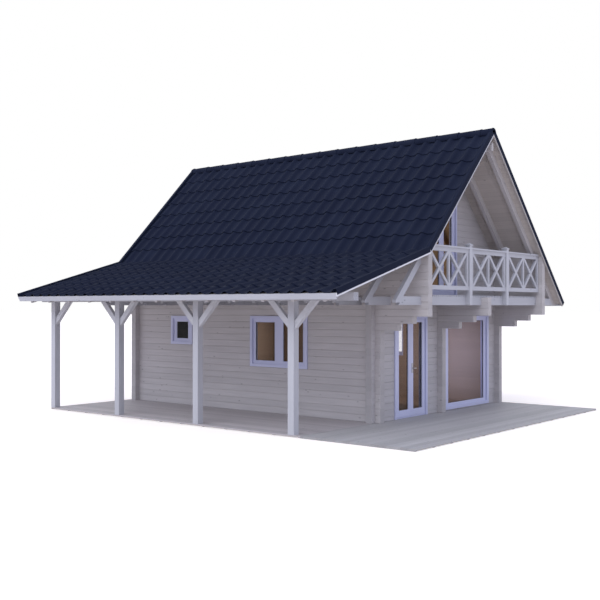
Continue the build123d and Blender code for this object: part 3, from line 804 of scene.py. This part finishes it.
@dataclass
class TiledSlope:
    """One roof slope of pressed tile sheet: rows of tiles with a flat pan and a round roll.

    Row shares are places on a tile from its head to its foot, and step shares are the heights there. A tuck
    is how far the sheet runs on past its slab, where it meets another slope.
    """

    node: str
    side: int
    pitch_angle: float
    tile_depth: float = 0.045
    wave: float = 0.3115
    first_crest: float = -0.722
    first_tile: float = 60.5
    roll_share: float = 0.36
    roll_height: float = 0.05
    roll_columns: int = 11
    edge_gap: float = 0.004
    row: float = 0.4433
    row_step: float = 0.022
    row_shares: tuple[float, ...] = (0.008, 0.5, 0.93, 0.985, 1.0)
    step_shares: tuple[float, ...] = (0.0, 0.5, 0.95, 1.0, 0.86)
    last_step_share: float = 0.2
    row_count_share: float = 0.98
    metal: float = 0.005
    top_gap: float = 0.001
    head_tuck: float = 0.0
    foot_tuck: float = 0.0

    def length(self) -> float:
        """Length of the slope from its head to its foot."""
        low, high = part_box(self.node)
        return (high.x - low.x) / math.cos(self.pitch_angle)

    def placed(self, down: np.ndarray, y: np.ndarray, height: np.ndarray) -> np.ndarray:
        """Place points on the slope, by shapes that numpy can match.

        Args:
            down: distance from the slope's head, along the slope.
            y: place along the ridge.
            height: distance from the slab's face, square to the slope.

        Returns:
            The points, with a last axis of 3.
        """
        low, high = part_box(self.node)
        head = low.x if self.side > 0 else high.x
        tall, wide = math.sin(self.pitch_angle), math.cos(self.pitch_angle)
        x = head + self.side * (down * wide + height * tall)
        z = high.z - down * tall + height * wide
        return np.stack(np.broadcast_arrays(x, y, z), axis=-1)

    def lines(self) -> tuple[np.ndarray, np.ndarray, np.ndarray]:
        """Set out lines across the slope, counted from the foot so that the lowest row is whole.

        Returns:
            Each line's distance from the slope's head, its lift by the row's step and its row number.
        """
        length = self.length()
        rows = math.ceil(length / self.row)
        share = np.array(self.row_shares)
        start = length - self.row * np.arange(rows, 0, -1)
        down = start[:, None] + share * self.row
        rise = np.broadcast_to(np.array(self.step_shares) * self.row_step, down.shape).copy()
        rise[-1] *= self.last_step_share
        number = np.arange(rows)[:, None] + share * self.row_count_share
        down, rise, number = down.ravel(), rise.ravel(), number.ravel()
        kept = down > 0.0
        head = np.array([0.0])
        heads = (np.array([-self.head_tuck]), np.interp(head, down, rise), np.interp(head, down, number))
        down[-1] += self.foot_tuck
        return tuple(np.concatenate([first, line[kept]])
                     for first, line in zip(heads, (down, rise, number)))

    def roll(self, y: np.ndarray) -> np.ndarray:
        """Height of the sheet's wave: a squared cosine over each roll and zero over the flat pan.

        Args:
            y: places along the ridge.

        Returns:
            The height at each place.
        """
        turn = (y - self.first_crest) / self.wave
        turn = (turn - np.round(turn)) / self.roll_share
        return np.where(np.abs(turn) < 1, np.cos(turn * math.pi / 2) ** 2, 0.0) * self.roll_height

    def columns(self, front: float, back: float) -> np.ndarray:
        """Set out columns along the ridge, close over the rolls and wide over the pans.

        Args:
            front: the sheet's front edge.
            back: its back edge.

        Returns:
            The columns' places, from the front to the back.
        """
        share = np.concatenate([[-0.5], self.roll_share * np.linspace(-1.0, 1.0, self.roll_columns)])
        first = math.floor((front - self.first_crest) / self.wave)
        last = math.ceil((back - self.first_crest) / self.wave)
        spots = (self.first_crest + self.wave * (np.arange(first, last + 1)[:, None] + share)).ravel()
        inner = spots[(spots > front + self.edge_gap) & (spots < back - self.edge_gap)]
        return np.concatenate([[front], inner, [back]])

    def build(self, finish: bpy.types.Material) -> None:
        """Make the sheet in place of its CAD slab.

        A point lies down the slope by its line and along the ridge by its column. Over the slope it stands
        by the metal, the roll and the row's step. Its UV pair counts tiles along the ridge and rows.

        Args:
            finish: the tiles' material.
        """
        low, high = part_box(self.node)
        down, rise, number = self.lines()
        y = self.columns(low.y, high.y)
        lift = (self.top_gap + self.metal - self.tile_depth) + rise[:, None] + self.roll(y)[None, :]
        top, bottom = (self.placed(down[:, None], y, height) for height in (lift, lift - self.metal))
        uv = np.stack(np.broadcast_arrays((y[None, :] - self.first_crest) / self.wave + self.first_tile,
                                          number[:, None]), axis=-1)
        sheet = thick_sheet(top, bottom, self.side > 0, uv)
        name = self.node.replace("roof_tiles", "tile_sheet")
        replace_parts(sheet.piece(name, finish, HOUSE, Slot.TILE), self.node)


@dataclass
class RidgeTiles:
    """Half-round ridge tiles that lap over each other along the ridge.

    Ring shares are places along a tile, and swell shares are how much of the swell it has there.
    """

    node: str = "ridge_cap"
    spacing: float = 0.5436
    first_joint: float = -0.212
    lap: float = 0.05
    wall: float = 0.012
    swell: float = 0.008
    ring_shares: tuple[float, ...] = (0.0, 0.02, 0.045, 0.06, 0.5, 1.0)
    swell_shares: tuple[float, ...] = (1.0, 1.5, 1.5, 0.8, 0.4, -0.4)
    arc: float = math.radians(112.0)
    arc_points: int = 23

    def tile(self, front: float, back: float, radius: float, centre: float) -> Surface:
        """Make one tile.

        An arc is carried along the ridge, wider by the swell at the end that laps the next tile, where it
        also has a raised rim.

        Args:
            front: the tile's front end.
            back: its back end.
            radius: the arc's radius.
            centre: the height of the arc's middle.

        Returns:
            The closed tile.
        """
        angle = np.linspace(-self.arc, self.arc, self.arc_points)
        y = (front + np.array(self.ring_shares) * (back - front))[:, None]
        outer = (radius + np.array(self.swell_shares) * self.swell)[:, None]
        top, bottom = (np.stack(np.broadcast_arrays(reach * np.sin(angle), y, centre + reach * np.cos(angle)),
                                axis=-1) for reach in (outer, outer - self.wall))
        return outward(thick_sheet(top, bottom))

    def build(self, finish: bpy.types.Material) -> None:
        """Make the tiles in place of the CAD cap, from the front to the back.

        Args:
            finish: the tiles' material.
        """
        low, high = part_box(self.node)
        radius = (high.x - low.x) / 2
        first = math.floor((low.y - self.first_joint) / self.spacing)
        last = math.ceil((high.y - self.first_joint) / self.spacing)
        joints = self.first_joint + self.spacing * np.arange(first, last + 1)
        sheet = Surface.joined([
            self.tile(max(front, low.y), min(back + self.lap, high.y), radius, high.z - radius)
            for front, back in zip(joints[:-1], joints[1:])])
        sheet.uv = np.stack([sheet.points[:, 1] / self.spacing, np.zeros(len(sheet.points))], axis=-1)
        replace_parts(sheet.piece("ridge_tiles", finish, HOUSE, Slot.TILE), self.node)


@dataclass
class VergeTrim:
    """Angled metal trims that close the tile sheets along the gables' edges."""

    slopes: Sequence[TiledSlope]
    metal: float = 0.004
    lap: float = 0.07
    drop: float = 0.075
    rise: float = 0.026
    foot: float = 0.036
    tile_number: float = 0.5

    def build(self, finish: bpy.types.Material) -> None:
        """Make both trims of every slope.

        A U-shaped section, a leg down over the sheet's edge, a strip in over it and a short leg down to its
        pan, is carried down the slope.

        Args:
            finish: the tiles' material.
        """
        across = np.array([-self.metal, -self.metal, 0.0, self.lap, self.lap + self.metal])
        height = np.array([-self.drop, self.rise, self.rise + self.metal, self.rise, -self.foot])
        under = across + np.array([1.0, 1.0, 0.5, -1.0, -1.0]) * self.metal
        beneath = height - np.array([0.0, 1.0, 1.0, 1.0, 0.0]) * self.metal
        parts = []
        for slope in self.slopes:
            low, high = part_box(slope.node)
            down = np.array([0.0, slope.length()])[:, None]
            for edge, inward in ((low.y, 1.0), (high.y, -1.0)):
                top, bottom = (slope.placed(down, edge + inward * side, lift)
                               for side, lift in ((across, height), (under, beneath)))
                parts.append(outward(thick_sheet(top, bottom)))
        sheet = Surface.joined(parts)
        sheet.uv = np.tile([self.tile_number, 0.0], (len(sheet.points), 1))
        sheet.piece("verge_trims", finish, HOUSE, Slot.TILE)


@dataclass
class BoardFloor:
    """A floor of bevelled boards on bearers, in place of a plain slab.

    Long floors have two kinds of rows in turn, and each kind has its own shares of the length at which its
    boards are cut.
    """

    node: str
    lengthwise: int
    pitch: float = DECKING
    gap: float = 0.005
    bevel: float = 0.003
    thickness: float = 0.028
    longest: float = 3.9
    cut_shares: tuple[tuple[float, ...], ...] = ((0.0, 0.5, 1.0), (0.0, 0.25, 0.75, 1.0))
    bearer_width: float = 0.045
    bearer_bevel: float = 0.001
    bearer_spacing: float = 0.6
    screw_radius: float = 0.0045
    screw_inset: float = 0.025
    screw_proud: float = 0.0006
    low: np.ndarray = field(init=False)
    high: np.ndarray = field(init=False)
    sideways: int = field(init=False)
    length: float = field(init=False)
    strip: float = field(init=False)
    starts: np.ndarray = field(init=False)
    bearers: np.ndarray = field(init=False)

    def __post_init__(self) -> None:
        """Take the slab's box from the frame and set out the strips and the bearers in it."""
        self.low, self.high = (np.array(corner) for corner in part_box(self.node))
        self.sideways = 1 - self.lengthwise
        self.length = self.high[self.lengthwise] - self.low[self.lengthwise]
        breadth = self.high[self.sideways] - self.low[self.sideways]
        count = max(1, round(breadth / self.pitch))
        self.strip = breadth / count
        self.starts = self.low[self.sideways] + self.strip * np.arange(count)
        share = np.linspace(0.0, 1.0, round(self.length / self.bearer_spacing) + 1)
        first = self.low[self.lengthwise] + self.bearer_width / 2
        self.bearers = first + (self.length - self.bearer_width) * share

    def boards(self) -> Surface:
        """Lay the boards.

        Boards of equal width fill the slab's breadth. Where the slab is longer than a board, every other row
        is cut at its middle, and the rows between at a quarter and at three quarters.

        Returns:
            All boards as one surface.
        """
        cuts = ((0.0, 1.0),) if self.length < self.longest else self.cut_shares
        first = self.low[self.lengthwise]
        lows, highs = [], []
        for turn, shares in enumerate(cuts):
            rows = self.starts[turn::len(cuts)]
            for head, tail in zip(shares[:-1], shares[1:]):
                near = np.empty((len(rows), 3))
                near[:, self.lengthwise] = first + head * self.length + (self.gap / 2) * (head > 0)
                near[:, self.sideways] = rows + self.gap / 2
                near[:, 2] = self.high[2] - self.thickness
                far = near.copy()
                far[:, self.lengthwise] = first + tail * self.length - (self.gap / 2) * (tail < 1)
                far[:, self.sideways] = rows + self.strip - self.gap / 2
                far[:, 2] = self.high[2]
                lows.append(near)
                highs.append(far)
        return planks(np.concatenate(lows), np.concatenate(highs), self.lengthwise, self.bevel)

    def under_boards(self) -> Surface:
        """Lay the bearers across the boards, from the slab's base up to the boards.

        Returns:
            All bearers as one surface.
        """
        near = np.tile(self.low, (len(self.bearers), 1))
        far = np.tile(self.high, (len(self.bearers), 1))
        near[:, self.lengthwise] = self.bearers - self.bearer_width / 2
        far[:, self.lengthwise] = self.bearers + self.bearer_width / 2
        near[:, self.sideways] += self.gap / 2
        far[:, self.sideways] -= self.gap / 2
        far[:, 2] = self.high[2] - self.thickness
        return planks(near, far, self.sideways, self.bearer_bevel)

    def screws(self) -> Surface:
        """Drive two screws through each board into each bearer.

        Returns:
            All heads as one surface.
        """
        edge = np.concatenate([self.starts + self.screw_inset, self.starts + self.strip - self.screw_inset])
        spots = np.empty((len(self.bearers), len(edge), 3))
        spots[..., self.lengthwise] = self.bearers[:, None]
        spots[..., self.sideways] = edge[None, :]
        spots[..., 2] = self.high[2]
        return screw_heads(spots.reshape(-1, 3), self.screw_radius, self.screw_proud)

    def build(self, wood: bpy.types.Material, steel: bpy.types.Material) -> None:
        """Make the boards and bearers in place of the slab, and their screws.

        Args:
            wood: the boards' material.
            steel: the screws' material.
        """
        floor = Surface.joined([self.boards(), self.under_boards()])
        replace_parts(floor.piece(f"{self.node}_boards", wood, HOUSE, Slot.DECK), self.node)
        self.screws().piece(f"{self.node}_screws", steel, HOUSE, Slot.METAL)


@dataclass
class Glazing:
    """Beads and gaskets that hold the panes of one CAD node in their frames."""

    node: str
    body: str
    bead_width: float = 0.014
    bead_height: float = 0.0095
    gasket_width: float = 0.018
    gasket_height: float = 0.002
    gasket_chamfer: float = 0.001
    bead_points: int = 5

    def build(self, paint: bpy.types.Material, rubber: bpy.types.Material) -> None:
        """Make a bead and a gasket round each face of every pane.

        The bead is a quarter round between the pane and its frame, and the gasket is a flat strip that
        shows beside it.

        Args:
            paint: the beads' material.
            rubber: the gaskets' material.
        """
        turn = np.linspace(0.0, math.pi / 2, self.bead_points)
        quarter = np.stack([self.bead_width * np.cos(turn), self.bead_height * np.sin(turn)], axis=-1)
        round_bead = np.concatenate([[[0.0, 0.0]], quarter])
        strip = np.array([[0.0, 0.0], [self.gasket_width, 0.0],
                          [self.gasket_width - self.gasket_chamfer, self.gasket_height],
                          [0.0, self.gasket_height]])
        beads, gaskets = [], []
        for low, high in islands(self.node):
            normal = int(np.argmin(high - low))
            plane = ((normal + 1) % 3, (normal + 2) % 3, normal)
            flat = list(plane[:2])
            for level, sense in ((low[normal], -1.0), (high[normal], 1.0)):
                for section, made in ((round_bead, beads), (strip, gaskets)):
                    made.append(frame_ring(low[flat], high[flat], level, plane,
                                           section * np.array([1.0, sense])))
        name = self.node.replace("_glass", "")
        Surface.joined(beads).piece(f"{name}_beads", paint, self.body, Slot.FRAME)
        Surface.joined(gaskets).piece(f"{name}_gaskets", rubber, self.body, Slot.FRAME)


@dataclass(frozen=True)
class RoomLamp:
    """A broad lamp inside that lights one wall, so that a room shows through the panes.

    A heading of zero faces the back wall. The size is across and upright.
    """

    name: str
    place: tuple[float, float, float]
    size: tuple[float, float]
    power: float
    colour: Colour
    spread: float = math.pi
    heading: float = -math.pi / 2

    def build(self) -> None:
        """Hang the lamp where only the walls that it lights can be seen, not the lamp."""
        panel = bpy.data.lights.new(self.name, "AREA")
        panel.shape = "RECTANGLE"
        panel.size, panel.size_y = self.size
        panel.energy = self.power
        panel.color = self.colour
        panel.spread = self.spread
        lamp = bpy.data.objects.new(self.name, panel)
        lamp.location = self.place
        lamp.rotation_euler = (math.pi / 2, 0.0, self.heading)
        lamp.visible_camera = False
        lamp.visible_glossy = False
        lamp.visible_transmission = False
        bpy.context.scene.collection.objects.link(lamp)


ROOM_LAMPS = (
    RoomLamp("room_light", place=(0.6, -0.5, 1.3), size=(5.0, 1.6), power=23.5, colour=(1.0, 0.91, 0.99)),
    RoomLamp("window_light", place=(0.9, -2.55, 1.2), size=(1.2, 1.8), power=9.8, colour=(0.42, 0.5, 0.95),
             spread=math.radians(84.0)),
    RoomLamp("back_light", place=(1.7, 2.2, 1.35), size=(0.8, 1.5), power=1.8, colour=(0.95, 0.92, 1.0),
             spread=math.radians(80.0), heading=0.0),
    RoomLamp("loft_light", place=(-0.4, -0.5, 3.6), size=(4.0, 1.4), power=44.0, colour=(1.0, 0.9, 0.8)),
)


@dataclass
class Studio:
    """Camera, soft light from the left and a pale floor that fades into a white background."""

    eye: tuple[float, float, float] = (-17.3929, -13.8058, 2.3304)
    tilt: float = 0.0072
    heading: float = -0.8844
    lens: float = 54.74
    sensor: float = 36.0
    far: float = 1000.0
    sky: Colour = (0.735, 0.785, 1.01)
    key_turn: float = math.radians(-86.0)
    key_height: float = math.radians(44.0)
    key_strength: float = 1.25
    key_colour: Colour = (0.93, 0.97, 1.0)
    key_spread: float = math.radians(50.0)
    floor_colour: Colour = (0.85, 0.772, 0.7)
    floor_glow: float = 0.4
    floor_reach: float = 300.0
    floor_level: float = -0.002

    def build(self) -> None:
        """Set the camera, the lamps, the world and the floor."""
        scene = bpy.context.scene
        scene.view_settings.view_transform = "Standard"
        lens = bpy.data.cameras.new("camera")
        lens.lens = self.lens
        lens.sensor_width = self.sensor
        lens.clip_end = self.far
        camera = bpy.data.objects.new("camera", lens)
        camera.location = self.eye
        camera.rotation_euler = (math.pi / 2 + self.tilt, 0.0, self.heading)
        scene.collection.objects.link(camera)
        scene.camera = camera
        self.light_key()
        for lamp in ROOM_LAMPS:
            lamp.build()
        self.light_world()
        self.lay_floor()

    def light_key(self) -> None:
        """A broad soft sun from the left of the house."""
        sun = bpy.data.lights.new("soft_key", "SUN")
        sun.energy = self.key_strength
        sun.color = self.key_colour
        sun.angle = self.key_spread
        lamp = bpy.data.objects.new("soft_key", sun)
        lamp.rotation_euler = (math.pi / 2 - self.key_height, 0.0, self.key_turn)
        bpy.context.scene.collection.objects.link(lamp)

    def light_world(self) -> None:
        """A plain cool sky, white where the camera, a mirror or a pane sees it."""
        s = Shading("studio", world=True)
        sky = s.node("ShaderNodeBackground", None, {"Color": self.sky})
        white = s.node("ShaderNodeBackground", None, {"Color": (1.0, 1.0, 1.0)})
        bpy.context.scene.world = s.close(
            s.node("ShaderNodeMixShader", None, {0: s.watched(), 1: sky, 2: white}))

    def lay_floor(self) -> None:
        """A wide pale floor just under the house, brightened for the camera so that it meets the white."""
        reach, level = self.floor_reach, self.floor_level
        mesh = bpy.data.meshes.new("studio_floor")
        mesh.from_pydata([(-reach, -reach, level), (reach, -reach, level), (reach, reach, level),
                          (-reach, reach, level)], [], [(0, 1, 2, 3)])
        s = Shading("studio_floor")
        pale = s.node("ShaderNodeBsdfDiffuse", None, {"Color": self.floor_colour})
        glow = s.node("ShaderNodeEmission", None, {"Color": (1.0, 1.0, 1.0),
                                                   "Strength": self.floor_glow})
        bright = s.node("ShaderNodeAddShader", None, {0: pale, 1: glow})
        shown = s.node("ShaderNodeMixShader", None, {0: s.watched(), 1: pale, 2: bright})
        mesh.materials.append(s.close(shown))
        floor = bpy.data.objects.new("studio_floor", mesh)
        bpy.context.scene.collection.objects.link(floor)


@dataclass
class Carried:
    """CAD nodes that keep their shape and take a finish."""

    finish: WoodFinish | FramePaint | PaneGlass | SteelFinish
    nodes: Sequence[str]

    def dress(self) -> bpy.types.Material:
        """Give the finish to every node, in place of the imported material.

        Returns:
            The finish's material.
        """
        material = self.finish.material()
        for node in self.nodes:
            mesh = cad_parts[node].data
            mesh.materials.clear()
            mesh.materials.append(material)
            LOG.info("%s: %s", node, material.name)
        return material


def log_woods() -> list[Carried]:
    """Choose the woods of the log walls, with a joint at every course.

    The gable walls' courses lie half a log higher than the side walls'.

    Returns:
        The finishes with their nodes.
    """
    floor_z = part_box("ground_floor")[1].z
    logs: dict[str, Any] = {"inside": PINE, "board": COURSE, "joint_width": 0.009, "grain_spread": 0.26}
    return [
        # The side logs' colour is the washed wood painted lighter, as painted light.
        Carried(WoodFinish("washed_side_logs", Y, Z, WASHED_SIDE_PAINTED_LIGHT, first_joint=floor_z, heart=WALL_X, **logs),
                ("left_wall", "right_wall", "left_wall_top", "right_wall_top", "middle_log_ends",
                 "middle_corbel", "middle_girder")),
        Carried(WoodFinish("washed_gable_logs", X, Z, WASHED, first_joint=floor_z + COURSE / 2, heart=WALL_Y,
                           **logs),
                ("front_wall", "front_wall_head", "back_wall", "front_gable", "back_gable")),
    ]


def beam_woods() -> list[Carried]:
    """Choose the woods of the beams and rafters, each with its grain along it.

    Returns:
        The finishes with their nodes.
    """
    return [
        Carried(WoodFinish("washed_tie_beams", X, Y, PALE, PINE), ("tie_beams",)),
        Carried(WoodFinish("washed_ridge_beam", Y, X, WASHED, PINE, first_joint=0.15), ("ridge_beam",)),
        Carried(WoodFinish("washed_left_rafters", SLOPE_LEFT, Y, PALE, PINE), ("left_rafters",)),
        Carried(WoodFinish("washed_right_rafters", SLOPE_RIGHT, Y, WASHED, PINE), ("right_rafters",)),
        Carried(WoodFinish("washed_veranda_rafters", SLOPE_VERANDA, Y, WASHED), ("veranda_rafters",)),
    ]


def board_woods() -> list[Carried]:
    """Choose the woods of the roofs' boarding, counted by its height, and of the floors inside.

    Returns:
        The finishes with their nodes.
    """
    ridge_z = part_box("left_roof_boards")[1].z
    eave_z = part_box("veranda_roof_boards")[0].z
    dark: dict[str, Any] = {"joint_light": -0.2}
    return [
        Carried(WoodFinish("roof_boarding", Y, Z, SOFFIT, PINE, board=BOARDING * math.sin(MAIN_PITCH),
                           first_joint=ridge_z, joint_width=0.004, **dark),
                ("left_roof_boards", "right_roof_boards")),
        Carried(WoodFinish("veranda_boarding", Y, Z, SOFFIT, board=BOARDING * math.sin(VERANDA_PITCH),
                           first_joint=eave_z, joint_width=0.0015, **dark), ("veranda_roof_boards",)),
        Carried(WoodFinish("pine_floor", Y, X, WEATHERED, PINE, board=BOARDING, joint_width=0.003,
                           roughness=0.42, **dark), ("ground_floor", "loft_floor")),
    ]


def painted_woods() -> list[Carried]:
    """Choose the woods of the pale posts, braces, railing and edge boards, all with a quiet grain.

    Returns:
        The finishes with their nodes.
    """
    quiet: dict[str, Any] = {"grain_spread": 0.16}
    few_knots: dict[str, Any] = {**quiet, "knot_share": 0.3}
    plain_ends: dict[str, Any] = {"end_light": 1.0, "ring_depth": 0.0}
    return [
        Carried(WoodFinish("pale_posts", Z, Y, POSTS, first_joint=0.1, **few_knots),
                ("veranda_posts", "railing_posts")),
        Carried(WoodFinish("pale_long_trim", Y, Z, PALE, first_joint=0.07, **few_knots),
                ("veranda_beam", "fascia_boards")),
        Carried(WoodFinish("pale_braces", Y, Z, BRACES, first_joint=0.07, **few_knots, **plain_ends),
                ("veranda_braces",)),
        # The veranda barge is painted lighter and the right barge darker, as painted light and shade.
        Carried(WoodFinish("pale_left_barge", SLOPE_LEFT, Y, LEFT_BARGE, **quiet), ("left_barge_boards",)),
        Carried(WoodFinish("shaded_right_barge", SLOPE_RIGHT, Y, SHADED_RIGHT_BARGE, **quiet),
                ("right_barge_boards",)),
        Carried(WoodFinish("lit_veranda_barge", SLOPE_VERANDA, Y, LIT_VERANDA_BARGE, **quiet),
                ("veranda_barge_boards",)),
        Carried(WoodFinish("pale_railing", X, Z, PALE, first_joint=0.1, knot_share=0.2, **quiet,
                           **plain_ends), ("balcony_railing",)),
    ]


def main() -> None:
    """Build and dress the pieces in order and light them."""
    logging.basicConfig(level=logging.INFO, format="%(message)s")
    for carried in (*log_woods(), *beam_woods(), *board_woods(), *painted_woods()):
        carried.dress()

    paint = Carried(FramePaint(), ("window_frames", "balcony_door", "front_door_frame", "left_door_leaf",
                                   "right_door_leaf")).dress()
    Carried(PaneGlass(), ("window_glass", "balcony_door_glass", "left_door_glass",
                          "right_door_glass")).dress()
    steel = Carried(SteelFinish(), ("door_handle",)).dress()

    tile = TileFinish().material()
    slopes = (TiledSlope("left_roof_tiles", side=-1, pitch_angle=MAIN_PITCH, foot_tuck=0.015),
              TiledSlope("right_roof_tiles", side=1, pitch_angle=MAIN_PITCH),
              TiledSlope("veranda_roof_tiles", side=-1, pitch_angle=VERANDA_PITCH, head_tuck=0.015))
    for slope in slopes:
        slope.build(tile)
    RidgeTiles().build(tile)
    VergeTrim(slopes).build(tile)

    front_deck = BoardFloor("front_deck", lengthwise=0)
    veranda_deck = BoardFloor("veranda_deck", lengthwise=1)
    balcony = BoardFloor("balcony_floor", lengthwise=1, pitch=BALCONY_BOARD, gap=0.022, thickness=0.036,
                         screw_inset=0.035)
    front_deck.build(WoodFinish("weathered_front_deck", X, Y, WEATHERED, board=DECKING,
                                first_joint=front_deck.low[1], tone_spread=0.22).material(), steel)
    veranda_deck.build(WoodFinish("weathered_veranda_deck", Y, X, SHELTERED, board=DECKING,
                                  first_joint=veranda_deck.low[0], tone_spread=0.22).material(), steel)
    balcony.build(WoodFinish("pale_balcony_boards", Y, X, PALE, board=BALCONY_BOARD,
                             first_joint=balcony.low[0], end_light=1.1).material(), steel)

    rubber = GasketRubber().material()
    for node, body in (("window_glass", HOUSE), ("balcony_door_glass", HOUSE),
                       ("left_door_glass", "door_leaf_left"), ("right_door_glass", "door_leaf_right")):
        Glazing(node, body).build(paint, rubber)

    Studio().build()


if __name__ == "__main__":
    main()
